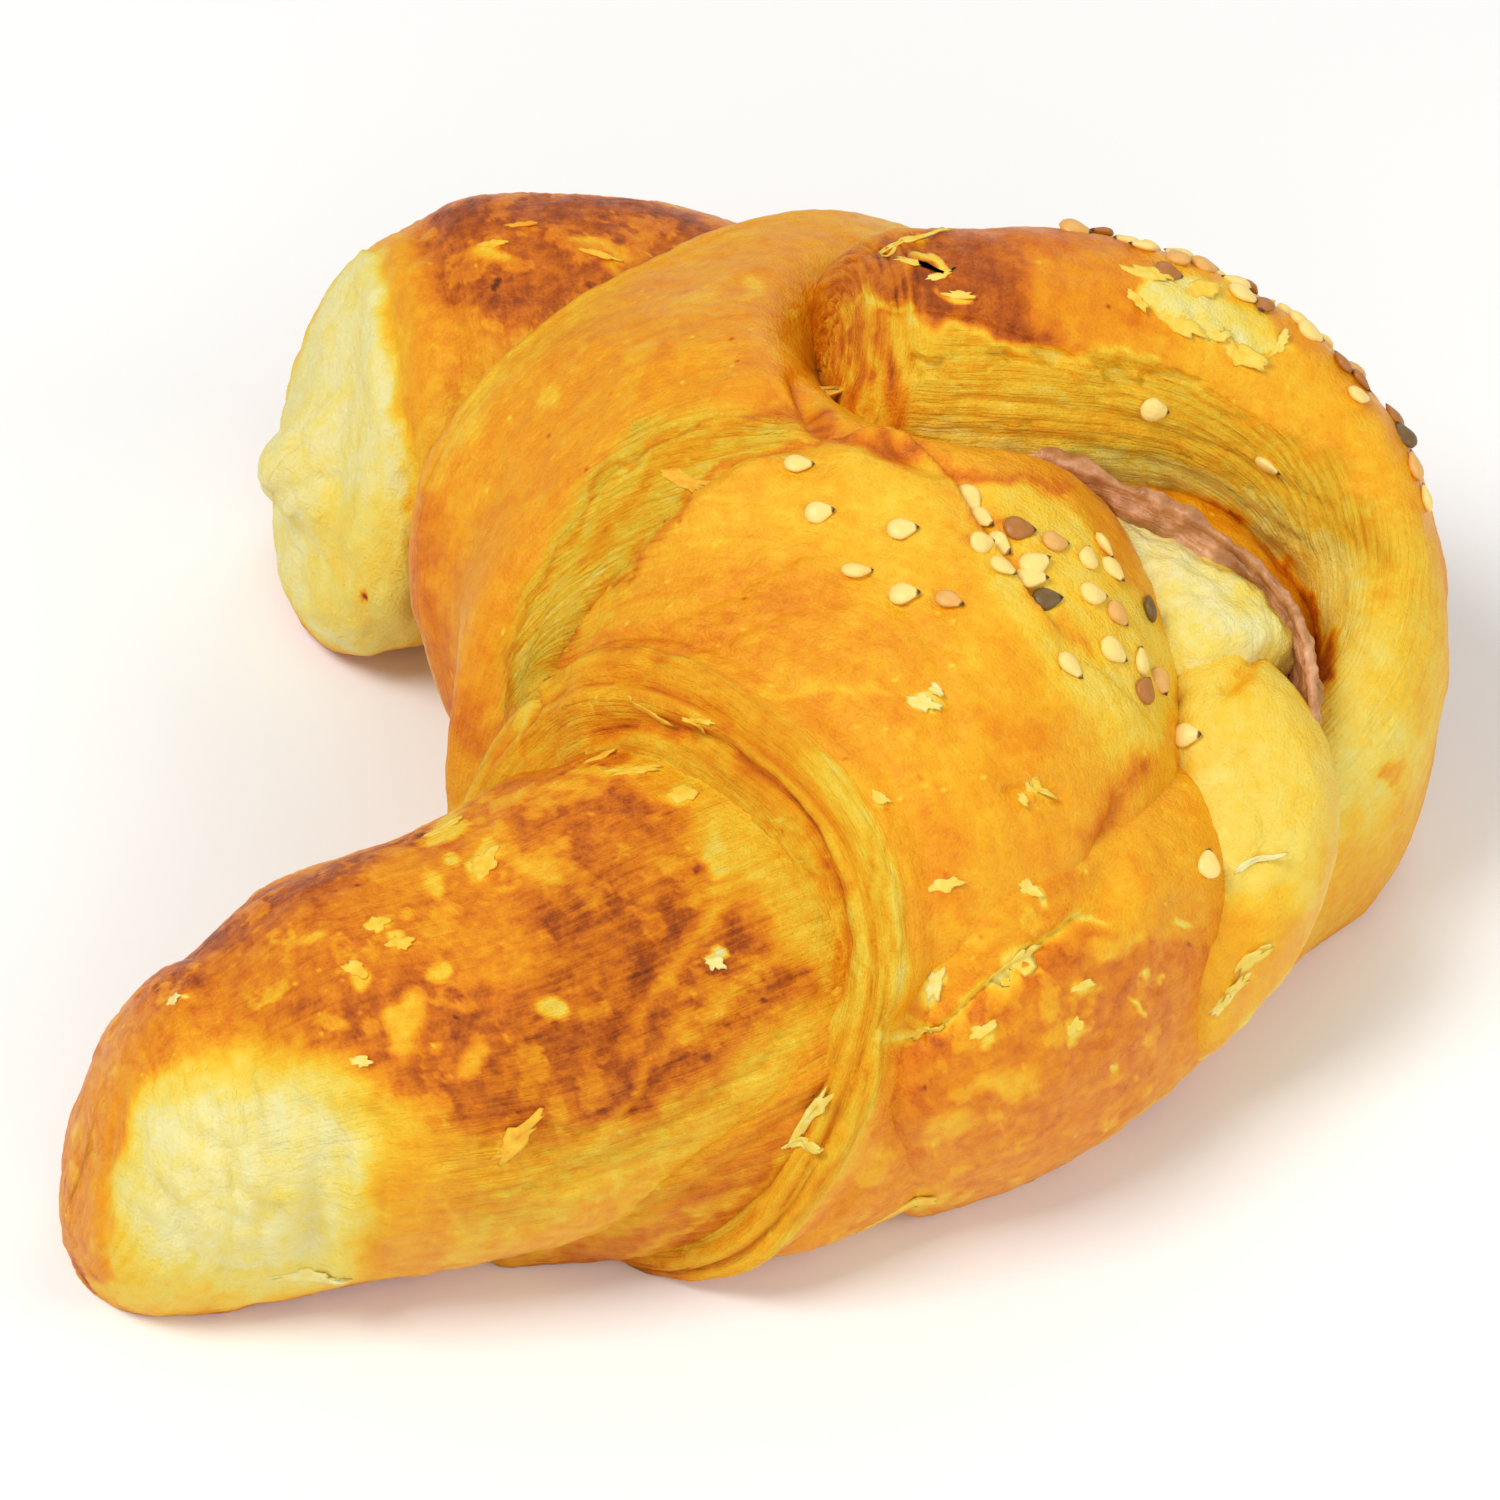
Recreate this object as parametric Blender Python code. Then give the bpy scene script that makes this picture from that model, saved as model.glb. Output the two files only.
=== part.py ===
"""A ham croissant, in metres with +Z up.

The dough is one solid: two arms, the thick wraps rolled round them, the folds of the
belly, and the loose outer tongue that runs round the belly and over the top. A slice of
ham lies between the tongue and the roll. Sesame seeds are baked on to the crust.

Each form of the dough is a loft: rings of points round a smooth line, worked out from a
few stations. The forms are joined, cut off flat where the croissant rests, and cut out
round the ham.

The origin is under the middle of the croissant, on the surface that it rests on. The arms
point to -X, and the front arm is the one at -Y.
"""

import math
import random

import bpy
import numpy as np
from mathutils import Matrix, Vector
from mathutils.bvhtree import BVHTree

MM = 0.001

# Driving dimensions, in millimetres.
ARM_RADIUS = 17.0
BACK_ARM_RADIUS = 19.5
ROLL_HEIGHT = 49.0
AXIS_HEIGHT = 20.0
TONGUE_HALF_WIDTH = 9.0
HAM_THICKNESS = 3.0
HAM_HALF_HEIGHT = 9.0
HAM_CLEARANCE = 0.3
SEED_LENGTH = 3.3
SEED_WIDTH = 2.0
SEED_THICKNESS = 1.2
SEED_SPACING = 2.6

# The wraps wind like a screw, so their edges lean back against the way they travel.
WRAP_LEAN = -0.6


class Station:
    """One cross-section of a form: centre, heading in plan, lean, and half sizes in mm."""

    def __init__(self, centre, heading, half_width, rise, drop, lean=0.0, square=2.2):
        self.values = np.array([*centre, heading, half_width, rise, drop, lean, square])


def spline(stations, samples):
    """The stations' values along a smooth curve through all of them."""
    knots = np.array([s.values for s in stations])
    knots = np.vstack([2 * knots[0] - knots[1], knots, 2 * knots[-1] - knots[-2]])
    t = np.linspace(0, len(stations) - 1, samples)
    i = np.minimum(t.astype(int), len(stations) - 2)
    f = (t - i)[:, None]
    before, start, end, after = (knots[i + k] for k in range(4))
    return 0.5 * (
        2 * start
        + (end - before) * f
        + (2 * before - 5 * start + 4 * end - after) * f**2
        + (3 * start - before - 3 * end + after) * f**3
    )


def section(values, around, inset=0.0, shift=0.0):
    """A ring of points. inset shrinks it by that distance, and shift moves it along."""
    x, y, z, heading, half_width, rise, drop, lean, square = values
    a = math.radians(heading)
    along = np.array([math.cos(a), math.sin(a), 0.0])
    side = np.array([-math.sin(a), math.cos(a), 0.0])
    t = np.linspace(0, 2 * math.pi, around, endpoint=False)
    across = np.sign(np.cos(t)) * np.abs(np.cos(t)) ** (2 / square)
    up = np.sign(np.sin(t)) * np.abs(np.sin(t)) ** (2 / square)
    height = np.where(up > 0, max(rise - inset, 0.0), max(drop - inset, 0.0)) * up
    width = max(half_width - inset, 0.0) * across
    ring = np.outer(width, side) + np.outer(height, [0, 0, 1])
    ring += np.outer(height * lean + shift, along)
    return ring + [x, y, z]


def end_rings(values, around, cap, outward):
    """The rings of an end, from its edge inwards. cap is (how deep, how long)."""
    depth, length = cap
    steps = 4
    rings = []
    for k in range(1, steps + 1):
        a = 0.5 * math.pi * k / steps
        rings.append(
            section(
                values, around, depth * (1 - math.cos(a)), outward * length * math.sin(a)
            )
        )
    return rings


def loft_rings(stations, samples, around, start_cap, end_cap):
    """All rings of a form with its two ends rounded."""
    rows = spline(stations, samples)
    first = end_rings(rows[0], around, start_cap, -1.0)[::-1]
    last = end_rings(rows[-1], around, end_cap, 1.0)
    return np.array(first + [section(row, around) for row in rows] + last)


def skin(rings):
    """Points and faces of the closed surface through the rings, with a fan on each end."""
    count, around, _ = rings.shape
    points = rings.reshape(-1, 3)
    faces = []
    for i in range(count - 1):
        for j in range(around):
            k = (j + 1) % around
            faces.append(
                (
                    i * around + j,
                    i * around + k,
                    (i + 1) * around + k,
                    (i + 1) * around + j,
                )
            )
    poles = [rings[0].mean(axis=0), rings[-1].mean(axis=0)]
    points = np.vstack([points, poles])
    low, high = count * around, count * around + 1
    last = (count - 1) * around
    for j in range(around):
        k = (j + 1) % around
        faces.append((low, k, j))
        faces.append((high, last + j, last + k))
    return points, faces


def roll_stations():
    """The roll's thick middle, from its lip over the back arm to its rim round the front arm."""
    top = ROLL_HEIGHT - AXIS_HEIGHT
    z = AXIS_HEIGHT
    return [
        Station((-1.0, 32.0, z), -55, 34.0, 0.75 * top, z + 2, WRAP_LEAN),
        Station((4.0, 14.6, z), -75, 30.5, 0.92 * top, z + 2, WRAP_LEAN),
        Station((6.1, -3.0, z), -95, 32.9, top, z + 2, WRAP_LEAN),
        Station((2.5, -16.0, z), -115, 29.0, 0.9 * top, z + 2, WRAP_LEAN, 2.4),
        Station((-8.0, -23.5, z), -135, 24.0, 0.76 * top, z + 2, WRAP_LEAN, 2.5),
    ]


def front_arm_stations():
    r = ARM_RADIUS
    return [
        Station((7.5, -14.0, 20), 206, r + 3.5, r, r + 2),
        Station((-8.5, -22.0, 19), 206, r + 3.5, r, r + 2),
        Station((-23.0, -28.0, 17), 205, r + 2.2, r - 1.5, r + 2),
        Station((-37.0, -32.5, 16), 203, r - 0.3, r - 1.2, r + 2, -0.1),
        Station((-47.5, -35.8, 14.5), 200, r - 4.5, r - 4.5, r + 2, -0.36),
    ]


def back_arm_stations():
    r = BACK_ARM_RADIUS
    return [
        Station((4.0, 40.0, 20), 170, r, r - 1, r + 2),
        Station((-12.0, 45.0, 20.5), 178, r, r, r + 2),
        Station((-24.0, 45.5, 20), 188, r, r, r + 2),
        Station((-34.0, 43.0, 19.5), 196, r - 1.5, r - 2.0, r + 1, -0.33),
    ]


def belly_stations():
    """The lower layer that bulges out under the roll on its outer side."""
    return [
        Station((15.5, -26.4, 14.5), -5, 13.6, 17.0, 17.5),
        Station((20.8, -24.2, 14.5), 20, 12.6, 19.4, 17.0),
        Station((30.0, -16.0, 14.5), 50, 12.5, 17.8, 17.0),
        Station((36.0, -3.0, 14), 80, 12.5, 15.0, 16.0),
        Station((38.0, 12.0, 15), 110, 15.0, 16.0, 17.0),
        Station((28.0, 25.0, 16), 145, 17.0, 20.0, 18.0),
    ]


def heart_stations():
    """The rounded inner side of the bend, between the arms and under the wraps."""
    return [
        Station((-4.0, 34.0, 14), -100, 12.0, 14.0, 16.0),
        Station((-9.0, 16.0, 14), -95, 12.5, 14.0, 16.0),
        Station((-8.5, 2.0, 14), -90, 12.5, 15.0, 16.0),
        Station((-2.0, -14.0, 14), -85, 12.0, 16.0, 16.0),
    ]


def under_layer_stations():
    """The layer below the front arm, between the arm and the rim."""
    return [
        Station((-21.0, -36.0, 9), 15, 6.5, 6.0, 12.0),
        Station((-8.0, -33.5, 13), 18, 10.5, 10.0, 15.0),
        Station((4.0, -28.0, 16), 30, 13.0, 15.0, 18.0),
    ]


def tongue_stations():
    """The loose outer tongue, from its root at the front, round the belly and over the top."""
    w = TONGUE_HALF_WIDTH
    return [
        Station((35.0, -14.0, 9), 40, w - 1, 10.0, 11.0),
        Station((44.5, -5.0, 10), 52, w - 2, 12.0, 12.0),
        Station((54.0, 4.0, 13), 72, w - 3, 15.0, 15.0),
        Station((57.0, 14.5, 19), 98, w - 2.5, 14.0, 19.0),
        Station((53.5, 25.0, 27), 128, w - 1, 12.0, 15.0),
        Station((42.5, 31.0, 34), 155, w + 1, 11.5, 13.0),
        Station((27.0, 31.6, 38.0), 174, w + 3.0, 13.0, 15.0),
        Station((11.0, 30.0, 39.5), 188, w + 2.4, 12.5, 15.0, -0.35),
    ]


def inner_fold_stations():
    """The pale fold between the roll and the ham."""
    return [
        Station((24.0, 17.0, 27), -10, 7.0, 9.0, 10.0),
        Station((34.0, 12.0, 27), -35, 7.5, 9.0, 10.0),
        Station((41.0, 4.0, 27), -60, 7.5, 9.0, 10.0),
    ]


def outer_fold_stations():
    """The glossy fold in front of it, which runs down to the tongue's root."""
    return [
        Station((40.0, 4.0, 24), -85, 6.0, 9.0, 10.0),
        Station((43.0, -5.0, 24), -85, 8.0, 10.0, 10.0),
        Station((42.0, -13.0, 20), -105, 8.5, 9.0, 10.0),
        Station((36.0, -19.0, 15), -120, 8.0, 8.0, 10.0),
    ]


def torn_lobe_stations():
    """The torn corner that sticks out of the back arm's end."""
    return [
        Station((-31.0, 45.0, 17.5), 190, 11.0, 13.0, 10.0),
        Station((-39.0, 43.0, 16.5), 200, 5.5, 7.5, 6.0),
        Station((-43.0, 41.5, 15.5), 205, 3.5, 4.5, 4.0),
    ]


def ham_stations(clearance=0.0):
    """The slice of ham, on edge between the tongue and the folds."""
    half = 0.5 * HAM_THICKNESS + clearance
    tall = HAM_HALF_HEIGHT + clearance
    return [
        Station((18.0, 22.5, 29), -8, half, tall, tall),
        Station((29.0, 18.5, 29.5), -25, half, tall, tall),
        Station((40.0, 13.5, 27.5), -38, half, tall, tall),
        Station((47.5, 6.5, 24.5), -62, half, tall, tall),
        Station((49.0, -2.0, 21), -92, half, tall, tall),
        Station((47.0, -9.0, 17), -115, half, tall, tall),
    ]


# Each form: its stations, its two ends as (how deep, how long), and its rings and points
# in a ring.
FORMS = {
    "roll": (roll_stations, (2.0, 2.5), (2.0, 2.5), 33, 40),
    "front_arm": (front_arm_stations, (2.0, 2.0), (12.0, 9.0), 16, 30),
    "back_arm": (back_arm_stations, (2.0, 2.0), (7.0, 6.0), 12, 28),
    "belly": (belly_stations, (6.0, 6.0), (6.0, 6.0), 22, 20),
    "heart": (heart_stations, (4.0, 4.0), (4.0, 4.0), 14, 16),
    "under_layer": (under_layer_stations, (5.0, 4.0), (4.0, 3.0), 10, 16),
    "tongue": (tongue_stations, (4.0, 4.0), (4.0, 5.0), 34, 24),
    "inner_fold": (inner_fold_stations, (4.0, 4.0), (4.0, 4.0), 10, 14),
    "outer_fold": (outer_fold_stations, (4.0, 4.0), (4.0, 4.0), 12, 14),
    "torn_lobe": (torn_lobe_stations, (2.0, 2.0), (2.5, 2.5), 6, 12),
}
HAM_RINGS = 22
HAM_AROUND = 12
HAM_END = (1.0, 1.0)

# Creases between the layers: the line of each, its depth and its half width.
CREASES = (
    (((4, 17, 49), (-5, 11, 46), (-13, 6, 40), (-18, -8, 32)), 1.3, 3.0),
    (((13, 11, 49), (17, 8, 48), (20, 2, 47), (23, -3, 45)), 0.9, 2.0),
    (((30, -24, 31), (24, -29, 31), (20, -32, 30), (13, -37, 27)), 1.5, 2.2),
    (((-37, -48, 10), (-36, -48, 17), (-33, -45, 25)), 0.9, 1.8),
    (((38, 22, 31), (43, 21, 28), (49, 18, 25)), 0.8, 2.0),
    (((-34, 44, 36), (-33, 34, 33), (-32, 27, 26)), 0.9, 2.2),
)

# The tongue lies in a bed that it has pressed into the roll.
BED_LINE = ((18.0, 30.0), (27.0, 33.0), (43.0, 31.0))
BED_DEPTH = 15.0
BED_REACH = 13.0
BED_FLOOR = 8.0

# The baked dough is a little uneven: how far, and over what length.
UNEVEN = 0.45
UNEVEN_LENGTH = 9.0

# The middle of the croissant's outline in plan, which goes to the origin.
MIDDLE = (1.81, 8.42)

# The block that cuts the forms off flat where the croissant rests.
BLOCK_SIDE = 300.0


def distance_to_line(points, line):
    """How far each point is from a line through several corners."""
    nearest = np.full(len(points), np.inf)
    corners = np.array(line, float)
    for start, end in zip(corners, corners[1:]):
        run = end - start
        share = np.clip((points - start) @ run / (run @ run), 0.0, 1.0)
        gap = points - (start + share[:, None] * run)
        nearest = np.minimum(nearest, np.linalg.norm(gap, axis=1))
    return nearest


def press_bed(rings):
    """The roll's rings with their upper side lowered under the tongue."""
    points = rings.reshape(-1, 3).copy()
    near = np.exp(-((distance_to_line(points[:, :2], BED_LINE) / BED_REACH) ** 4))
    upper = np.clip((points[:, 2] - BED_FLOOR) / (ROLL_HEIGHT - BED_FLOOR), 0.0, 1.0)
    points[:, 2] -= BED_DEPTH * near * upper
    return points.reshape(rings.shape)


def bake_relief(rings):
    """Presses the creases into the rings, and makes their surface a little uneven."""
    middles = rings.mean(axis=1, keepdims=True)
    outward = rings - middles
    outward /= np.maximum(np.linalg.norm(outward, axis=2, keepdims=True), 1e-6)
    points = rings.reshape(-1, 3)
    depth = np.zeros(len(points))
    for line, deep, half_width in CREASES:
        near = np.exp(-((distance_to_line(points, line) / half_width) ** 2))
        depth = np.maximum(depth, deep * near)
    x, y, z = points.T / UNEVEN_LENGTH
    waves = np.sin(2.1 * x + 1.3 * y) + np.sin(1.7 * y - 2.3 * z + 1.0)
    waves += np.sin(2.9 * z + 1.1 * x)
    move = UNEVEN * waves / 3 - depth
    return (points + outward.reshape(-1, 3) * move[:, None]).reshape(rings.shape)


def form_rings(name):
    """The rings of one form of the dough, in mm."""
    stations, start_cap, end_cap, samples, around = FORMS[name]
    rings = loft_rings(stations(), samples, around, start_cap, end_cap)
    if name == "roll":
        rings = press_bed(rings)
    return bake_relief(rings)


def mesh_object(name, points, faces):
    """A new object from points in mm, moved so that the croissant's middle is over the origin."""
    mesh = bpy.data.meshes.new(name)
    placed = (np.asarray(points) - [*MIDDLE, 0.0]) * MM
    mesh.from_pydata(placed.tolist(), [], faces)
    obj = bpy.data.objects.new(name, mesh)
    bpy.context.scene.collection.objects.link(obj)
    return obj


def seed_shape():
    """Points and faces of a sesame seed, a flat drop of 30 triangles with its point at +X."""
    around = 5
    rows = ((-0.30, 0.62), (0.02, 1.0), (0.34, 0.45))
    points = [(-0.5 * SEED_LENGTH, 0.0, 0.0)]
    for along, wide in rows:
        for k in range(around):
            a = 2 * math.pi * k / around
            y = 0.5 * SEED_WIDTH * wide * math.cos(a)
            z = 0.5 * SEED_THICKNESS * wide * math.sin(a)
            points.append((along * SEED_LENGTH, y, z))
    points.append((0.5 * SEED_LENGTH, 0.0, 0.0))
    faces = []
    last = len(points) - 1
    for k in range(around):
        n = (k + 1) % around
        faces.append((0, 1 + n, 1 + k))
        faces.append((last, 1 + 2 * around + k, 1 + 2 * around + n))
        for row in range(2):
            a = 1 + row * around
            faces.append((a + k, a + n, a + around + n, a + around + k))
    return points, faces


# Where the seeds are: the line that each sprinkling follows, its half width, how many
# seeds, and how close to the line they keep (1 is even, more is closer).
SPRINKLES = (
    (((20, 6), (27, 5), (31, -1), (33, -6)), 7.0, 22, 1.2),
    (((5, 8), (12, 2), (16, -4), (27, -9)), 6.0, 8, 1.0),
    (((41, 39), (48, 37), (55, 32), (60, 25)), 3.2, 26, 1.2),
    (((26, 38), (40, 36), (52, 28)), 9.0, 7, 1.0),
)
SEED_RANDOM = 7
SEED_TRIES = 4000
LEAST_UPWARD = 0.35
DROP_FROM = 90.0


def place_on_line(rng, line, half_width, closeness):
    """A random point within half_width of a line in plan."""
    k = rng.random() * (len(line) - 1)
    i = min(int(k), len(line) - 2)
    f = k - i
    x = line[i][0] * (1 - f) + line[i + 1][0] * f
    y = line[i][1] * (1 - f) + line[i + 1][1] * f
    a = rng.uniform(0, 2 * math.pi)
    r = half_width * rng.random() ** (0.5 * closeness)
    return x + r * math.cos(a), y + r * math.sin(a)


def scatter_seeds(trees, keep_clear):
    """Seeds laid flat on the dough, none touching another, as (place, turn) matrices in mm."""
    rng = random.Random(SEED_RANDOM)
    laid = []
    for line, half_width, count, closeness in SPRINKLES:
        placed = 0
        for _ in range(SEED_TRIES):
            if placed == count:
                break
            x, y = place_on_line(rng, line, half_width, closeness)
            hits = [t.ray_cast(Vector((x, y, DROP_FROM)), Vector((0, 0, -1))) for t in trees]
            hits = [h[:2] for h in hits if h[0]]
            if not hits:
                continue
            spot, normal = max(hits, key=lambda h: h[0].z)
            if normal.z < LEAST_UPWARD or keep_clear.find_nearest(spot)[3] < SEED_LENGTH:
                continue
            if any((spot - other.translation).length < SEED_SPACING for other in laid):
                continue
            side = normal.orthogonal().normalized()
            turn = Matrix((side, normal.cross(side), normal)).transposed().to_4x4()
            spin = Matrix.Rotation(rng.uniform(0, 2 * math.pi), 4, "Z")
            laid.append(Matrix.Translation(spot) @ turn @ spin)
            placed += 1
    return laid


def finish(name, colour, roughness):
    """A plain material in the piece's main colour."""
    material = bpy.data.materials.new(name)
    material.use_nodes = True
    shader = material.node_tree.nodes["Principled BSDF"]
    shader.inputs["Base Color"].default_value = (*colour, 1.0)
    shader.inputs["Roughness"].default_value = roughness
    return material


def apply_boolean(obj, operation, other=None, collection=None):
    """Applies one Boolean to the object and removes what it used."""
    modifier = obj.modifiers.new("join", "BOOLEAN")
    modifier.operation = operation
    modifier.solver = "EXACT"
    if collection:
        modifier.operand_type = "COLLECTION"
        modifier.collection = collection
    else:
        modifier.object = other
    graph = bpy.context.evaluated_depsgraph_get()
    mesh = bpy.data.meshes.new_from_object(obj.evaluated_get(graph))
    obj.modifiers.clear()
    obj.data = mesh
    used = list(collection.objects) if collection else [other]
    for helper in used:
        bpy.data.objects.remove(helper)


def build():
    """Clears the scene and makes the croissant and its ham."""
    for old in list(bpy.data.objects):
        bpy.data.objects.remove(old)

    pieces = {name: skin(form_rings(name)) for name in FORMS}
    ham_rings = loft_rings(ham_stations(), HAM_RINGS, HAM_AROUND, HAM_END, HAM_END)
    pocket = loft_rings(ham_stations(HAM_CLEARANCE), HAM_RINGS, HAM_AROUND, HAM_END, HAM_END)

    croissant = mesh_object("croissant", *pieces["roll"])
    joined = bpy.data.collections.new("joined")
    bpy.context.scene.collection.children.link(joined)
    for name in FORMS:
        if name == "roll":
            continue
        form = mesh_object(name, *pieces[name])
        bpy.context.scene.collection.objects.unlink(form)
        joined.objects.link(form)

    trees = [BVHTree.FromPolygons(points.tolist(), faces) for points, faces in pieces.values()]
    ham_points, ham_faces = skin(ham_rings)
    keep_clear = BVHTree.FromPolygons(ham_points.tolist(), ham_faces)
    shape, shape_faces = seed_shape()
    for place in scatter_seeds(trees, keep_clear):
        seed = mesh_object("seed", [place @ Vector(p) for p in shape], shape_faces)
        bpy.context.scene.collection.objects.unlink(seed)
        joined.objects.link(seed)
    apply_boolean(croissant, "UNION", collection=joined)
    bpy.data.collections.remove(joined)

    apply_boolean(croissant, "DIFFERENCE", mesh_object("pocket", *skin(pocket)))
    bpy.ops.mesh.primitive_cube_add(size=BLOCK_SIDE * MM, location=(0, 0, -0.5 * BLOCK_SIDE * MM))
    apply_boolean(croissant, "DIFFERENCE", bpy.context.object)
    croissant.data.materials.clear()
    croissant.data.materials.append(finish("golden_crust", (0.72, 0.36, 0.07), 0.45))

    ham = mesh_object("ham", ham_points, ham_faces)
    ham.data.shade_smooth()
    ham.data.materials.append(finish("ham", (0.62, 0.33, 0.26), 0.5))


build()
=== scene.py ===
"""The looks of a ham croissant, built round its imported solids.

Every form of the dough is lofted again from the stations of its solid, with far more
points. Relief is raised or pressed along the surface: layer edges, creases, blisters,
wrinkles and fine laminations. How far each spot is baked is worked out from rules for
each form, then from marks read off the photograph, each one a place in its pixels.
The ham, the sesame seeds and the loose flakes are pieces of their own.
"""

import math
import random

import bpy
import numpy as np
from mathutils import Matrix, Vector


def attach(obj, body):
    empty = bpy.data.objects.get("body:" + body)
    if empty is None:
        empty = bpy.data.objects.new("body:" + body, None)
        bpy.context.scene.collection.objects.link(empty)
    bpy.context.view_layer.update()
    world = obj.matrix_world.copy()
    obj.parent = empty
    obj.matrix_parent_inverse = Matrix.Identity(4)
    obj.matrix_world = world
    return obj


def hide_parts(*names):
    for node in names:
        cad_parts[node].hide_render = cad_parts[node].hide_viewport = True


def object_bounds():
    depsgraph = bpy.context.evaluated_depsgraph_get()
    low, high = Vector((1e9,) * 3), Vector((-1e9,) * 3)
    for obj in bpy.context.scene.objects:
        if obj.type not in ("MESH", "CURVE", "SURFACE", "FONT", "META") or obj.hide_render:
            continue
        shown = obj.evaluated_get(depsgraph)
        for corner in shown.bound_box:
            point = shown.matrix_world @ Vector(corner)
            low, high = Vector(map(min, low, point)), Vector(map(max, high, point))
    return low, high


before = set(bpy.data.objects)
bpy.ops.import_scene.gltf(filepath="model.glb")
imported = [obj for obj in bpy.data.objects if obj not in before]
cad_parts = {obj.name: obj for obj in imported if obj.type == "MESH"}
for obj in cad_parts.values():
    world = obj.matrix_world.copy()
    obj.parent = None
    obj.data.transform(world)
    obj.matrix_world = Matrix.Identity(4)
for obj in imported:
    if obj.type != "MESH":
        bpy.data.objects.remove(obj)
cad_low, cad_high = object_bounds()

MM = 0.001

# Driving dimensions of the solids, in millimetres.
ARM_RADIUS = 17.0
BACK_ARM_RADIUS = 19.5
ROLL_HEIGHT = 49.0
AXIS_HEIGHT = 20.0
TONGUE_HALF_WIDTH = 9.0
HAM_THICKNESS = 3.0
HAM_HALF_HEIGHT = 9.0
WRAP_LEAN = -0.6
MIDDLE = np.array([1.81, 8.42, 0.0])

# The camera's place and the photograph's frame.
CAMERA_ELEVATION = math.radians(47.0)
CAMERA_DISTANCE = 480.0
LOOK_AT = np.array([0.0, 0.0, 22.0])
PIXELS_PER_MM = 11.3
PHOTO_SIDE = 1500
SENSOR_MM = 36.0
FOCAL_PIXELS = PIXELS_PER_MM * CAMERA_DISTANCE
TOWARDS_CAMERA = np.array([0.0, -math.cos(CAMERA_ELEVATION), math.sin(CAMERA_ELEVATION)])
PICTURE_UP = np.array([0.0, math.sin(CAMERA_ELEVATION), math.cos(CAMERA_ELEVATION)])
PICTURE_RIGHT = np.array([1.0, 0.0, 0.0])
CAMERA_AT = LOOK_AT + CAMERA_DISTANCE * TOWARDS_CAMERA


def to_photo(points):
    """Where points in mm show in the photograph, in its pixels."""
    offset = points - LOOK_AT
    depth = CAMERA_DISTANCE - offset @ TOWARDS_CAMERA
    right = PHOTO_SIDE / 2 + FOCAL_PIXELS * (offset @ PICTURE_RIGHT) / depth
    down = PHOTO_SIDE / 2 - FOCAL_PIXELS * (offset @ PICTURE_UP) / depth
    return np.stack([right, down], axis=1)


def sight_line(pixel):
    """The direction from the camera through a pixel of the photograph."""
    right = (pixel[0] - PHOTO_SIDE / 2) / FOCAL_PIXELS
    up = (PHOTO_SIDE / 2 - pixel[1]) / FOCAL_PIXELS
    line = right * PICTURE_RIGHT + up * PICTURE_UP - TOWARDS_CAMERA
    return line / np.linalg.norm(line)


def smooth(low, high, value):
    """0 below low, 1 above high, and an even rise between them."""
    t = np.clip((value - low) / (high - low), 0.0, 1.0)
    return t * t * (3 - 2 * t)


def bell(distance, half_width):
    """1 at no distance, falling off over the half width."""
    return np.exp(-((distance / half_width) ** 2))


# Seeded noise in three dimensions.


class Noise:
    """Smooth random values from -1 to 1, and random spots, the same on each run."""

    SIZE = 4096

    def __init__(self, seed):
        rng = np.random.default_rng(seed)
        self.values = rng.uniform(-1, 1, self.SIZE)
        self.order = rng.permutation(self.SIZE)
        self.spots = rng.uniform(0, 1, (self.SIZE, 3))

    def number(self, cell):
        """The place in the tables that belongs to a cell of space."""
        mask = self.SIZE - 1
        n = self.order[cell[:, 0] & mask]
        n = self.order[(n + cell[:, 1]) & mask]
        return self.order[(n + cell[:, 2]) & mask]

    def __call__(self, points):
        cell = np.floor(points).astype(int)
        f = points - cell
        f = f * f * f * (f * (6 * f - 15) + 10)
        total = np.zeros(len(points))
        for corner in np.ndindex(2, 2, 2):
            weight = np.prod(np.where(corner, f, 1 - f), axis=1)
            total += weight * self.values[self.number(cell + corner)]
        return total

    def layered(self, points, octaves=3):
        """Several sizes of noise added up."""
        total = np.zeros(len(points))
        size = 1.0
        for k in range(octaves):
            total += size * self(points * 2.03**k + 17.3 * k)
            size *= 0.5
        return total

    def cells(self, points):
        """How far the nearest random spot is, and that spot's own number from 0 to 1."""
        base = np.floor(points).astype(int)
        nearest = np.full(len(points), 9.0)
        own = np.zeros(len(points))
        for step in np.ndindex(3, 3, 3):
            cell = base + step - 1
            n = self.number(cell)
            gap = np.linalg.norm(cell + self.spots[n] - points, axis=1)
            closer = gap < nearest
            nearest = np.where(closer, gap, nearest)
            own = np.where(closer, self.values[n] * 0.5 + 0.5, own)
        return nearest, own


NOISE = Noise(5)
OTHER_NOISE = Noise(11)


# The lofts, as in the solids.


def station(centre, heading, half_width, rise, drop, lean=0.0, square=2.2):
    """A section: its heading in degrees, its reach to the side, up and down, and its lean."""
    return [*centre, heading, half_width, rise, drop, lean, square]


def spline(stations, samples):
    """The stations' values along a smooth curve through all of them."""
    knots = np.array(stations, float)
    knots = np.vstack([2 * knots[0] - knots[1], knots, 2 * knots[-1] - knots[-2]])
    t = np.linspace(0, len(stations) - 1, samples)
    i = np.minimum(t.astype(int), len(stations) - 2)
    f = (t - i)[:, None]
    before, start, end, after = (knots[i + k] for k in range(4))
    return 0.5 * (
        2 * start
        + (end - before) * f
        + (2 * before - 5 * start + 4 * end - after) * f**2
        + (3 * start - before - 3 * end + after) * f**3
    )


# The points of a ring are closest together on its upper side.
TOP_CROWDING = 0.35


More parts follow.
